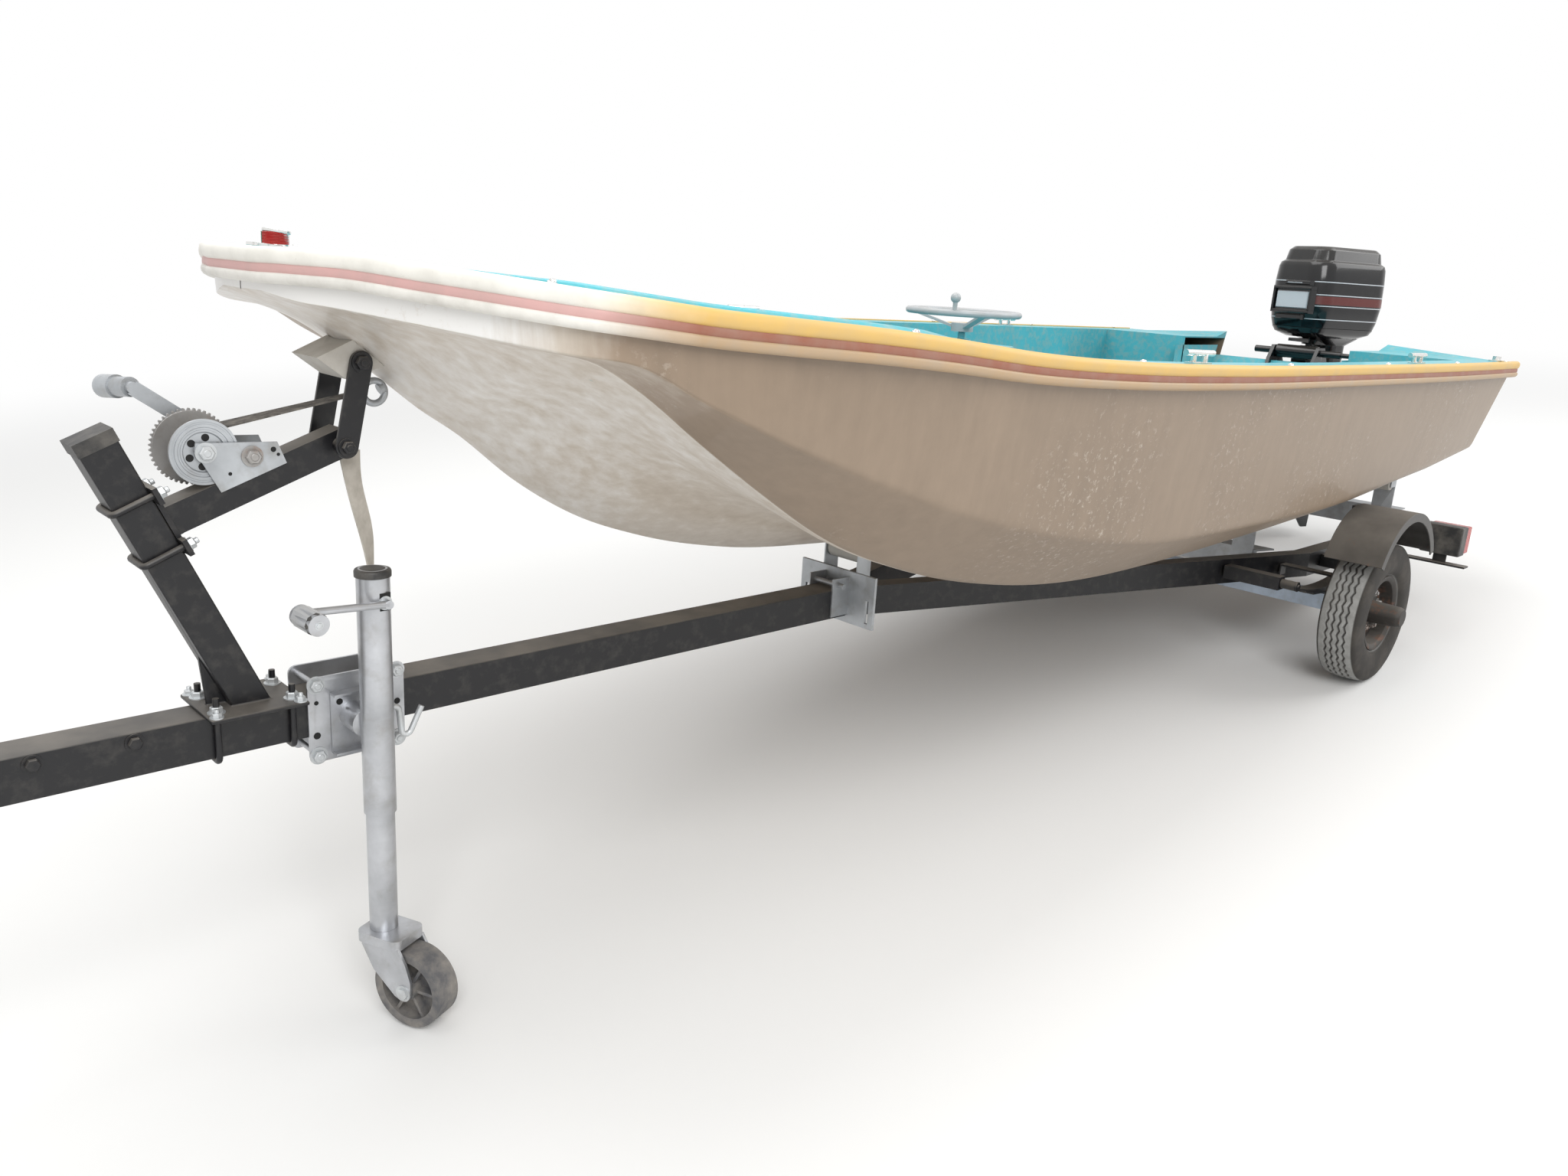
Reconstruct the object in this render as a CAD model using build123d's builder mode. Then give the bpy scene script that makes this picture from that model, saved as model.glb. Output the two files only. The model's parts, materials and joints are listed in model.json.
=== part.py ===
from build123d import *
import math
import os

os.makedirs("parts", exist_ok=True)

# A 13 ft cathedral-hull runabout with an outboard motor, strapped on its trailer.
# Millimetres. The tow frame has its origin on the tongue's top face at the jack,
# X forward along the tongue, Y to port and Z up. The trailer parks nose up on its
# two tyres and the jack wheel, so each finished piece is turned and lifted last.

# Running gear
tyre_radius = 215
tyre_width = 118
rim_radius = 103
rim_width = 96
wheel_x = -2812
wheel_y = 785
wheel_z = -110
caster_radius = 75
caster_width = 52
caster_trail = 73
caster_z = -554
caster_turn = -67
jack_y = 112
run_gap = 0.3

# The pose on level ground, from the tyres' and the jack wheel's lowest points. The jack
# wheel is swivelled, so it leans with the nose and stands on the edge of its tread.
swivel = math.radians(caster_turn)
wheelbase = math.hypot(wheel_x + caster_trail * math.cos(swivel), wheel_z - caster_z)
rise = math.atan2(wheel_z - caster_z, -caster_trail * math.cos(swivel) - wheel_x)
pitch = rise
for refine in range(6):
    lean = math.asin(-math.sin(swivel) * math.sin(pitch))
    below = caster_radius * math.cos(lean) + caster_width / 2 * math.sin(lean)
    pitch = rise - math.asin((tyre_radius - below) / wheelbase)
nose_up = math.degrees(pitch)
shift_x = 1683.0
axle_height = math.sin(pitch) * wheel_x + math.cos(pitch) * wheel_z
parked = Location((shift_x, 0, tyre_radius - axle_height), (0, -nose_up, 0))


def turned(x, y, angle):
    """A turn about an upright axis, before the piece is set down."""
    return Location((x, y, 0)) * Location((0, 0, 0), (0, 0, angle)) * Location((-x, -y, 0))


def finish(piece, name, turn=Location()):
    """Label a finished piece and set it down in the parked pose."""
    piece.part.label = name
    piece.part.locate(parked * turn)


def block(x, y, z, mode=Mode.ADD):
    """A box between two limits along each axis."""
    with Locations(((x[0] + x[1]) / 2, (y[0] + y[1]) / 2, (z[0] + z[1]) / 2)):
        Box(x[1] - x[0], y[1] - y[0], z[1] - z[0], mode=mode)


def along(start, end, across=None):
    """A plane at start that looks to end, with its X axis across."""
    start, end = Vector(*start), Vector(*end)
    run = end - start
    if across is None:
        across = (1, 0, 0) if abs(run.Y) > 0.9 * run.length else (0, 1, 0)
    return Plane(origin=start, x_dir=Vector(*across), z_dir=run)


def length(start, end):
    return (Vector(*end) - Vector(*start)).length


def square_bar(start, end, wide, deep, across=None, wall=0):
    """A straight bar of rectangular section, hollow if it has a wall."""
    with BuildSketch(along(start, end, across)) as profile:
        Rectangle(wide, deep)
        if wall:
            Rectangle(wide - 2 * wall, deep - 2 * wall, mode=Mode.SUBTRACT)
    extrude(profile.sketch, amount=length(start, end))


def round_bar(start, end, radius, bore=0, mode=Mode.ADD, across=None):
    """A straight round bar, bored if it has a bore radius."""
    with BuildSketch(along(start, end, across)) as profile:
        Circle(radius)
        if bore:
            Circle(bore, mode=Mode.SUBTRACT)
    extrude(profile.sketch, amount=length(start, end), mode=mode)


def post(x, y, z, radius, mode=Mode.ADD):
    """An upright round bar between two heights."""
    with Locations((x, y, (z[0] + z[1]) / 2)):
        Cylinder(radius, z[1] - z[0], mode=mode)


def outline(plane, points):
    """A face inside straight edges on a plane."""
    with BuildSketch(plane) as shape:
        with BuildLine():
            Polyline(*points, close=True)
        make_face()
    return shape.sketch


def plate(plane, points, thick, both=False, mode=Mode.ADD):
    """A flat plate of any straight-edged outline."""
    extrude(outline(plane, points), amount=thick, both=both, mode=mode)


# Hull form: half sections from keel to gunwale, bow first
# x, keel_z, hollow_y, hollow_z, edge_y, edge_z, chine_y, chine_z, side_y, side_z
hull_table = [
    (150, 697, 30, 698, 58, 698, 84, 699, 95, 757),
    (135, 690, 60, 691, 110, 691, 150, 690, 160, 758),
    (105, 680, 110, 682, 180, 684, 240, 684, 250, 758),
    (44, 654, 190, 664, 325, 671, 428, 670, 440, 748),
    (-48, 578, 240, 632, 470, 650, 620, 650, 632, 733),
    (-142, 500, 290, 575, 560, 633, 675, 635, 690, 722),
    (-225, 445, 300, 552, 560, 588, 705, 590, 722, 713),
    (-340, 353, 300, 497, 560, 505, 735, 537, 765, 705),
    (-480, 269, 300, 434, 560, 408, 735, 486, 788, 696),
    (-650, 205, 300, 368, 560, 303, 735, 428, 797, 682),
    (-900, 148, 300, 300, 560, 205, 735, 352, 800, 658),
    (-1240, 118, 300, 240, 560, 128, 735, 278, 800, 639),
    (-1680, 108, 300, 205, 560, 99, 735, 228, 800, 627),
    (-2400, 112, 300, 200, 560, 120, 735, 222, 798, 620),
    (-3200, 130, 300, 215, 560, 165, 730, 275, 784, 615),
    (-3960, 150, 300, 235, 555, 215, 690, 325, 752, 612),
]
transom_top = (-3904, 609)
transom_rake = 0.315


corner_softness = (0.45, 0.16, 0.05)


def slopes(column):
    """Slope of one hull line at each row: its neighbours' mean, and level where it turns."""
    steps = [b[0] - a[0] for a, b in zip(hull_table, hull_table[1:])]
    falls = [(b[column] - a[column]) / (b[0] - a[0]) for a, b in zip(hull_table, hull_table[1:])]
    found = [falls[0]]
    for i in range(1, len(falls)):
        mean = (falls[i] * steps[i - 1] + falls[i - 1] * steps[i]) / (steps[i] + steps[i - 1])
        limit = 3 * min(abs(falls[i]), abs(falls[i - 1]))
        found.append(max(-limit, min(limit, mean)) if falls[i] * falls[i - 1] > 0 else 0)
    return found + [falls[-1]]


def faired(i, share):
    """A row between two rows of the table, on the cubic through each hull line."""
    ahead, behind = hull_table[i], hull_table[i + 1]
    step = behind[0] - ahead[0]
    row = [ahead[0] + step * share]
    for column in range(1, len(ahead)):
        slope = slopes(column)
        row.append(
            (2 * share**3 - 3 * share**2 + 1) * ahead[column]
            + (share**3 - 2 * share**2 + share) * step * slope[i]
            + (3 * share**2 - 2 * share**3) * behind[column]
            + (share**3 - share**2) * step * slope[i + 1]
        )
    return row


stations = []
for i in range(len(hull_table) - 1):
    stations += [list(hull_table[i]), faired(i, 0.5)]
stations.append(list(hull_table[-1]))


def section_at(x):
    """The hull's half section at any station, straight between two faired rows."""
    for ahead, behind in zip(stations, stations[1:]):
        if ahead[0] >= x >= behind[0]:
            share = (ahead[0] - x) / (ahead[0] - behind[0])
            return [a + (b - a) * share for a, b in zip(ahead, behind)]
    return stations[0] if x > stations[0][0] else stations[-1]


def half_section(row):
    """Points (y, z) of one half from keel to gunwale, each inner corner a soft curve."""
    lines = [(0, row[1])] + [(row[i], row[i + 1]) for i in (2, 4, 6, 8)]
    points = [lines[0]]
    for back, here, ahead, soft in zip(lines, lines[1:], lines[2:], corner_softness):
        start, end = [[a + (b - a) * soft for a, b in zip(here, other)] for other in (back, ahead)]
        middle = [a / 4 + b / 2 + c / 4 for a, b, c in zip(start, here, end)]
        points += [tuple(start), tuple(middle), tuple(end)]
    return points + [lines[-1]]


def bottom_at(x, y):
    """Height of the hull's underside at a station and a distance from the centreline."""
    points = half_section(section_at(x))
    for (y0, z0), (y1, z1) in zip(points, points[1:]):
        if y0 <= abs(y) <= y1:
            return z0 + (z1 - z0) * (abs(y) - y0) / (y1 - y0)
    return points[-1][1]


def hull_section(row):
    """Closed outline of one station as points (y, z), both sides."""
    half = half_section(row)
    return half + [(-y, z) for y, z in reversed(half[1:])]


def station_plane(x):
    return Plane(origin=(x, 0, 0), x_dir=(0, 1, 0), z_dir=(1, 0, 0))


# Cockpit room: station, sole height, half width at the sole
cockpit_table = [
    (-60, 660, 470),
    (-300, 560, 560),
    (-700, 420, 620),
    (-1300, 330, 690),
    (-2400, 320, 700),
    (-3560, 330, 665),
]
liner_wall = 8
deck_thick = 5
bilge_rise = 60
bilge_width = 40
far_up = 900
well_half = 320
notch_z = 545
well_floor = 425
well_front = -3500
transom_thick = 46
crest_height = 36
crest_foot = -3821
crest_end = 700


def cockpit(grow, mode):
    """The cockpit's room, or the liner's outside where it grows by the wall."""
    sections = []
    for x, sole, half in cockpit_table:
        ends = {cockpit_table[0][0]: grow, cockpit_table[-1][0]: -grow}
        low, wide = sole - grow, half + grow
        points = [(-wide, far_up), (-wide, low + bilge_rise), (-wide + bilge_width, low)]
        points += [(-y, z) for y, z in reversed(points)]
        sections.append(outline(station_plane(x + ends.get(x, 0)), points))
    loft(sections=sections, ruled=True, mode=mode)


def cut_aft_of_transom():
    """Trim whatever reaches past the raked transom."""
    (x, z), reach = transom_top, 600
    corners = [(x - transom_rake * reach, z + reach), (x + transom_rake * reach, z - reach)]
    plate(Plane.XZ, corners + [(-4600, z - reach), (-4600, z + reach)], 1000, both=True, mode=Mode.SUBTRACT)


def transom_x(z):
    """Where the transom's outer face crosses a height."""
    return transom_top[0] - transom_rake * (z - transom_top[1])


def cut_motor_well():
    """The notch in the transom and the splash well ahead of it."""
    block((-4100, well_front), (-well_half, well_half), (notch_z, far_up), Mode.SUBTRACT)
    inside = [(transom_x(z) + transom_thick, z) for z in (notch_z + 1, well_floor)]
    plate(Plane.XZ, inside + [(well_front, well_floor), (well_front, notch_z + 1)], well_half, True, Mode.SUBTRACT)


def deck_sections(low, high):
    """Rectangles across the boat at every station, between two heights off the gunwale."""
    shapes = []
    for row in stations:
        wide = row[8]
        corners = [(-wide, row[9] + low), (wide, row[9] + low), (wide, row[9] + high), (-wide, row[9] + high)]
        shapes.append(outline(station_plane(row[0]), corners))
    return shapes


# Outer shell, foam filled up to the liner
with BuildPart() as hull:
    loft(sections=[outline(station_plane(row[0]), hull_section(row)) for row in stations], ruled=True)
    cut_aft_of_transom()
    cockpit(liner_wall, Mode.SUBTRACT)
    cut_motor_well()
finish(hull, "hull")
export_step(hull.part, "parts/hull.step")

# Moulded liner: deck, gunwale tops, cockpit sides and sole, raised crest along the transom
with BuildPart() as deck_liner:
    cockpit(liner_wall, Mode.ADD)
    above_deck = [(row[0], row[9] + deck_thick) for row in stations]
    above_deck += [(stations[-1][0], far_up + 9), (stations[0][0], far_up + 9)]
    plate(Plane.XZ, above_deck, 1000, both=True, mode=Mode.SUBTRACT)
    loft(sections=deck_sections(0, deck_thick), ruled=True)
    for side in (1, -1):
        foot = section_at(transom_top[0])[9] + deck_thick
        tall = [(crest_foot, foot - 3), (-3960, foot - 3), (-3960, foot + crest_height)]
        low = [(crest_foot, foot - 3), (-3960, foot - 3), (-3960, foot)]
        inner = outline(Plane(origin=(0, side * well_half, 0), x_dir=(1, 0, 0), z_dir=(0, -1, 0)), tall)
        outer = outline(Plane(origin=(0, side * crest_end, 0), x_dir=(1, 0, 0), z_dir=(0, -1, 0)), low)
        loft(sections=[inner, outer], ruled=True)
    cut_aft_of_transom()
    cockpit(0, Mode.SUBTRACT)
    cut_motor_well()
finish(deck_liner, "deck_liner")
export_step(deck_liner.part, "parts/deck_liner.step")

# Rub rail round the gunwale: a rounded band over a grooved insert and a lower lip
rail_proud = 22
# out from the gunwale, up from the gunwale
rail_form = [(0, 8), (14, 8), (20, 5), (22, -1), (20, -8), (17, -10), (17, -16), (20, -18), (19, -32), (10, -42), (0, -42)]


def rail_plan():
    """Stations pushed outwards square to the gunwale's plan."""
    pushed = []
    rows = [(stations[0][0], 0)] + [(row[0], row[8]) for row in stations]
    for i in range(1, len(rows)):
        before = rows[i - 1]
        after = rows[min(i + 1, len(rows) - 1)]
        run, side = before[0] - after[0], after[1] - before[1]
        size = math.hypot(run, side)
        pushed.append((rows[i][0] + rail_proud * side / size, rail_proud * run / size))
    return pushed


with BuildPart() as rub_rail:
    bands = []
    for (x, out), row in zip(rail_plan(), stations):
        port = [(row[8] + out * share / rail_proud, row[9] + up) for share, up in rail_form]
        bands.append(outline(station_plane(x), port + [(-y, z) for y, z in reversed(port)]))
    loft(sections=bands, ruled=True)
    core = []
    for row in stations:
        side = [(row[6] + run_gap, row[7]), (row[8] + run_gap, row[9]), (row[8] + run_gap, row[9] + 60)]
        front = run_gap if row is stations[0] else 0
        core.append(outline(station_plane(row[0] + front), side + [(-y, z) for y, z in reversed(side)]))
    loft(sections=core, ruled=True, mode=Mode.SUBTRACT)
    cut_aft_of_transom()
finish(rub_rail, "rub_rail")
export_step(rub_rail.part, "parts/rub_rail.step")

# Seats across the cockpit, on boxed risers from the sole
seat_table = [(-1500, 260, 500), (-3020, 300, 500)]
seat_thick = 40
riser_inset = 30
with BuildPart() as thwarts:
    for front, wide, top in seat_table:
        block((front - wide, front), (-900, 900), (top - seat_thick, top))
        block((front - wide + riser_inset, front - riser_inset), (-420, 420), (200, top - seat_thick))
    cockpit(0, Mode.INTERSECT)
finish(thwarts, "thwarts")
export_step(thwarts.part, "parts/thwarts.step")

# Helm on the starboard side, with the wheel lying nearly flat
helm = (-2110, -300)
console_top = 590
console_size = (260, 240)
helm_radius = 168
rim_thick = 10
helm_rim_z = 684
helm_dish = 46
hub_radius = 34
shaft_radius = 11
with BuildPart() as helm_console:
    block(
        (helm[0] - console_size[0] / 2, helm[0] + console_size[0] / 2),
        (helm[1] - console_size[1] / 2, helm[1] + console_size[1] / 2),
        (200, console_top),
    )
    cockpit(0, Mode.INTERSECT)
    fillet(helm_console.edges().filter_by(Axis.Z), 25)
    round_bar((*helm, console_top - 1), (*helm, helm_rim_z - helm_dish - 12), shaft_radius)
    round_bar((*helm, console_top - 1), (*helm, console_top + 14), 30)
finish(helm_console, "helm_console")
export_step(helm_console.part, "parts/helm_console.step")

with BuildPart() as steering_wheel:
    hub_z = helm_rim_z - helm_dish
    round_bar((*helm, hub_z - 12 + run_gap), (*helm, hub_z + 14), hub_radius)
    with Locations((*helm, helm_rim_z)):
        Torus(helm_radius, rim_thick)
    for turn in (60, 180, 300):
        dx, dy = math.cos(math.radians(turn)), math.sin(math.radians(turn))
        inner = (helm[0] + 20 * dx, helm[1] + 20 * dy, hub_z)
        outer = (helm[0] + helm_radius * dx, helm[1] + helm_radius * dy, helm_rim_z)
        square_bar(inner, outer, 22, 8, across=(-dy, dx, 0))
    knob = (helm[0] + helm_radius * math.cos(0.5), helm[1] + helm_radius * math.sin(0.5))
    round_bar((*knob, helm_rim_z), (*knob, helm_rim_z + 38), 7)
    with Locations((*knob, helm_rim_z + 44)):
        Sphere(15)
finish(steering_wheel, "steering_wheel")
export_step(steering_wheel.part, "parts/steering_wheel.step")

# Deck hardware: bow light, four cleats, stern light socket, bow eye
cleat_y = 748
cleat_table = [(-1600, 1), (-1600, -1), (-2950, 1), (-2950, -1)]
bow_light_x = 94
socket_spot = (-3790, 728)
seat_gap = 0.2


def deck_at(x):
    return section_at(x)[9] + deck_thick


def deck_plane(x, y):
    """The deck's own plane at a spot, X forward and Z off the deck."""
    rise = (deck_at(x + 40) - deck_at(x - 40)) / 80
    return Plane(origin=(x, y, deck_at(x) + seat_gap), x_dir=(1, 0, rise), z_dir=(-rise, 0, 1))


with BuildPart() as bow_light:
    with Locations(deck_plane(bow_light_x, 0)):
        block((-38, 38), (-24, 24), (0, 6))
        post(0, 0, (6, 26), 20)
        post(0, 0, (26, 31), 22)
finish(bow_light, "bow_light")
export_step(bow_light.part, "parts/bow_light.step")

with BuildPart() as deck_fittings:
    for x, side in cleat_table:
        with Locations(deck_plane(x, side * cleat_y)):
            block((-40, 40), (-12, 12), (0, 4))
            for spot in (-26, 26):
                post(spot, 0, (4, 22), 7)
            with Locations((0, 0, 24)):
                Cylinder(7, 124, rotation=(0, 90, 0))
    with Locations(deck_plane(*socket_spot)):
        post(0, 0, (0, 5), 24)
        post(0, 0, (5, 18), 13)
        post(0, 0, (8, 19), 6, Mode.SUBTRACT)
finish(deck_fittings, "deck_fittings")
export_step(deck_fittings.part, "parts/deck_fittings.step")

bow_eye_z = 540
eye_bar = 6


def stem_at(z):
    """Where the stem crosses a height."""
    for ahead, behind in zip(stations, stations[1:]):
        if ahead[1] >= z >= behind[1]:
            return ahead[0] + (behind[0] - ahead[0]) * (ahead[1] - z) / (ahead[1] - behind[1])


eye_x = stem_at(bow_eye_z)
with BuildPart() as bow_eye:
    with Locations(Location((eye_x + 28, 0, bow_eye_z - 12), (90, 0, 0))):
        Torus(20, eye_bar)
    round_bar((eye_x + 11, 0, bow_eye_z - 4), (eye_x + 19, 0, bow_eye_z - 8), 10)
finish(bow_eye, "bow_eye")
export_step(bow_eye.part, "parts/bow_eye.step")

# Outboard motor: its origin is on the tilt axis, and it is parked steered to starboard
tilt_axis = (-3878, 585)
steer_x = -104
steer_turn = -19
steered = turned(tilt_axis[0] + steer_x, 0, steer_turn)


def motor(x, y, z):
    """A point measured from the tilt axis, X forward and Z up the motor's leg."""
    return (tilt_axis[0] + x, y, tilt_axis[1] + z)


def motor_side(y=0):
    """The motor's upright fore-and-aft plane, X forward and its second axis up."""
    return Plane(origin=motor(0, y, 0), x_dir=(1, 0, 0), z_dir=(0, -1, 0))


steer_radius = 17
tilt_radius = 13
clamp_half = 95
cheek = 14


# Clamp bracket: two hooked cheeks over the transom, joined by the tilt tube
jaw_thick = 18
jaw_z = 440
cheek_foot = 400
screw_z = 470
screw_long = 46
screw_bar = 26
tube_half = 170
cable_end = 240
with BuildPart() as clamp_bracket:
    outside = transom_thick + 1
    behind = -0.5
    for side in (1, -1):
        profile = [
            (transom_x(jaw_z) + outside + jaw_thick, jaw_z),
            (transom_x(jaw_z) + outside, jaw_z),
            (transom_x(notch_z) + outside, notch_z + 1),
            (transom_x(notch_z) + behind, notch_z + 1),
            (transom_x(cheek_foot) + behind, cheek_foot),
            (transom_x(cheek_foot) - 40, cheek_foot),
            (tilt_axis[0] - 80, tilt_axis[1] - 60),
            (tilt_axis[0] - 24, tilt_axis[1] + 22),
            (tilt_axis[0] + 26, tilt_axis[1] + 22),
            (transom_x(notch_z) + outside + jaw_thick, notch_z + 10),
        ]
        plane = Plane(origin=(0, side * (clamp_half - cheek), 0), x_dir=(1, 0, 0), z_dir=(0, -1, 0))
        plate(plane, profile, -side * cheek)
        screw = (transom_x(screw_z) + outside + 3.4, side * (clamp_half - cheek / 2), screw_z)
        round_bar(screw, (screw[0] + screw_long, screw[1], screw_z), 9)
        bar_x = screw[0] + screw_long
        round_bar((bar_x, screw[1] - screw_bar, screw_z), (bar_x, screw[1] + screw_bar, screw_z), 4)
    round_bar(motor(0, -tube_half, 0), motor(0, tube_half + 1, 0), tilt_radius)
    round_bar(motor(0, tube_half, 0), motor(0, cable_end, 0), 9)
finish(clamp_bracket, "clamp_bracket")
export_step(clamp_bracket.part, "parts/clamp_bracket.step")

# Swivel bracket: turns on the tilt tube between the cheeks and carries the steering tube
with BuildPart() as swivel_bracket:
    half = clamp_half - cheek - run_gap - 1
    round_bar(motor(0, -half, 0), motor(0, half, 0), 26, bore=tilt_radius + run_gap)
    round_bar(motor(steer_x, 0, -330), motor(steer_x, 0, 24), steer_radius + 16)
    web = [(-14, 20), (steer_x, 24), (steer_x, -300), (steer_x + 40, -260), (-18, -18)]
    plate(motor_side(), web, 30, both=True)
    round_bar(motor(0, -half - 1, 0), motor(0, half + 1, 0), tilt_radius + run_gap, mode=Mode.SUBTRACT)
    round_bar(motor(steer_x, 0, -340), motor(steer_x, 0, 40), steer_radius + run_gap, mode=Mode.SUBTRACT)
finish(swivel_bracket, "swivel_bracket")
export_step(swivel_bracket.part, "parts/swivel_bracket.step")


def oval(z, x, long, wide, sharp=0.5):
    """A rounded rectangle across the motor's leg at one height."""
    with BuildSketch(Plane(origin=motor(x, 0, z))) as shape:
        RectangleRounded(long, wide, sharp * min(long, wide) * 0.98)
    return shape.sketch


# Leg: steering shaft with its yokes, and the exhaust housing behind it down to the gearcase
leg_x = -205
leg_top = 30
gear_top = -385
plate_z = -432
prop_z = -576
skeg_z = -722
pan_z = 60
cowl_x = -155
cowl_foot = 96
shaft_low, shaft_high = -352, 48
arm_reach = 105
with BuildPart() as motor_leg:
    for low, high in ((shaft_low - 24, shaft_low + 18), (leg_top, leg_top + 24)):
        extrude(oval(low, (steer_x + leg_x) / 2 + 4, 150, 74), amount=high - low)
    loft(sections=[oval(gear_top, leg_x, 118, 70), oval(leg_top, leg_x, 128, 108)], ruled=True)
    clear = (motor(steer_x, 0, shaft_low + 19), motor(steer_x, 0, leg_top - 1))
    round_bar(*clear, steer_radius + 17, mode=Mode.SUBTRACT)
    round_bar(motor(steer_x, 0, shaft_low), motor(steer_x, 0, shaft_high), steer_radius)
    plate(motor_side(), [(steer_x, 34), (steer_x + arm_reach, 40), (steer_x + arm_reach, 52), (steer_x, 52)], 16, both=True)
    loft(sections=[oval(leg_top, leg_x, 128, 108), oval(pan_z, leg_x + 20, 270, 170)], ruled=True)
    pan = [oval(pan_z - 1, cowl_x, 300, 170), oval(pan_z + 16, cowl_x, 352, 222, 0.3), oval(cowl_foot, cowl_x, 374, 244, 0.3)]
    loft(sections=pan, ruled=True)
finish(motor_leg, "motor_leg", steered)
export_step(motor_leg.part, "parts/motor_leg.step")

# Gearcase with its cavitation plate, bullet and skeg
prop_x = -300
nose_x = -60
bullet = 42
drive_radius = 8
drive_long = 70
with BuildPart() as gearcase:
    strut = [oval(gear_top - 0.2, leg_x, 118, 70), oval(plate_z, leg_x, 130, 60), oval(prop_z + 20, leg_x, 150, 44)]
    loft(sections=strut, ruled=True)
    extrude(oval(plate_z - 6, leg_x - 60, 310, 170), amount=8)
    round_bar(motor(prop_x, 0, prop_z), motor(nose_x - 110, 0, prop_z), bullet)
    rings = []
    for back, radius in ((110, bullet), (70, 39), (30, 28), (0, 12)):
        with BuildSketch(along(motor(nose_x - back, 0, prop_z), motor(nose_x + 10, 0, prop_z))) as ring:
            Circle(radius)
        rings.append(ring.sketch)
    loft(sections=rings, ruled=True)
    skeg = [(-130, prop_z - 24), (-270, prop_z - 30), (-262, skeg_z), (-232, skeg_z)]
    plate(motor_side(), skeg, 5, both=True)
    round_bar(motor(prop_x, 0, prop_z), motor(prop_x - drive_long, 0, prop_z), drive_radius)
finish(gearcase, "gearcase", steered)
export_step(gearcase.part, "parts/gearcase.step")

# Propeller: hub and three pitched blades
hub_radius_prop = 36
blade_mid = prop_x - 33
# radius, chord, thickness, pitch of each blade section
blade_table = [(30, 56, 8, 44), (60, 84, 7, 34), (94, 92, 5, 25), (116, 66, 4, 20), (124, 26, 3, 18)]
with BuildPart() as propeller:
    hub_front, hub_back = prop_x - run_gap - 1, prop_x - 66
    round_bar(motor(hub_front, 0, prop_z), motor(hub_back, 0, prop_z), hub_radius_prop)
    for turn in (0, 120, 240):
        up, out = math.cos(math.radians(turn)), math.sin(math.radians(turn))
        shapes = []
        for radius, chord, thick, pitch_angle in blade_table:
            lead = (math.sin(math.radians(pitch_angle)), math.cos(math.radians(pitch_angle)))
            spot = Plane(
                origin=motor(blade_mid, radius * out, prop_z + radius * up),
                x_dir=(lead[0], lead[1] * up, -lead[1] * out),
                z_dir=(0, out, up),
            )
            with BuildSketch(spot) as blade:
                Rectangle(chord, thick)
            shapes.append(blade.sketch)
        loft(sections=shapes, ruled=True)
    bore = (motor(hub_front + 1, 0, prop_z), motor(hub_back - 1, 0, prop_z))
    round_bar(*bore, drive_radius + run_gap, mode=Mode.SUBTRACT)
finish(propeller, "propeller", steered)
export_step(propeller.part, "parts/propeller.step")

# Cowl: one plain block with soft shoulders and a raised cap
cowl_long = 400
cowl_wide = 270
# height, narrower by
cowl_steps = [
    (cowl_foot + 0.2, 28), (124, 14), (185, 0), (276, 5), (326, 12), (342, 22), (350, 46), (388, 60), (402, 90),
]
with BuildPart() as cowl:
    rings = [oval(z, cowl_x, cowl_long - less, cowl_wide - less, 0.3) for z, less in cowl_steps]
    loft(sections=rings, ruled=True)
finish(cowl, "cowl", steered)
export_step(cowl.part, "parts/cowl.step")

# Trailer tongue, a 3 in square tube with its coupler
tube = 76.2
tube_wall = 5
tongue_front = 760
bracket_x = -1302
with BuildPart() as tongue:
    square_bar((bracket_x, 0, -tube / 2), (tongue_front, 0, -tube / 2), tube, tube, wall=tube_wall)
finish(tongue, "tongue")
export_step(tongue.part, "parts/tongue.step")

ball_x = 905
ball_socket = 25.9
socket_top = -14
coupler_foot = -52
dome_radius = 38
with BuildPart() as coupler:
    half = tube / 2 + 4
    block((tongue_front - 120, tongue_front + 60), (-half, half), (-tube, 4))
    block((tongue_front - 130, tongue_front + 0.2), (-tube / 2, tube / 2), (-tube - 1, 0), Mode.SUBTRACT)
    neck = []
    for x, wide, low in ((tongue_front + 59, 2 * half, -64), (ball_x - 45, 80, -56), (ball_x, 74, coupler_foot)):
        with BuildSketch(station_plane(x)) as ring:
            with Locations((0, (low + 4) / 2)):
                RectangleRounded(wide, 4 - low, 12)
        neck.append(ring.sketch)
    loft(sections=neck, ruled=True)
    post(ball_x, 0, (coupler_foot, -16), dome_radius)
    with Locations((ball_x, 0, -18)):
        Sphere(dome_radius)
    post(ball_x, 0, (coupler_foot - 20, coupler_foot), dome_radius + 30, Mode.SUBTRACT)
    post(ball_x, 0, (coupler_foot - 1, socket_top), ball_socket, Mode.SUBTRACT)
    block((ball_x - 110, ball_x - 42), (-8, 8), (2, 34))
    round_bar((ball_x - 106, 0, 34), (ball_x - 10, 0, 42), 9)
finish(coupler, "coupler")
export_step(coupler.part, "parts/coupler.step")

# Frame rails: a V from the tongue to the axle, then straight aft
rail_wide = 50
rail_wall = 4
rail_slope = 0.311
bend_x = -2935
rail_end = -3745
apex_x = bracket_x - 8.3


def rail_out(x):
    """Outer face of a rail from the centreline, at a station ahead of the bend."""
    return 79 + rail_slope * (-1423 - max(x, bend_x))


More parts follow.
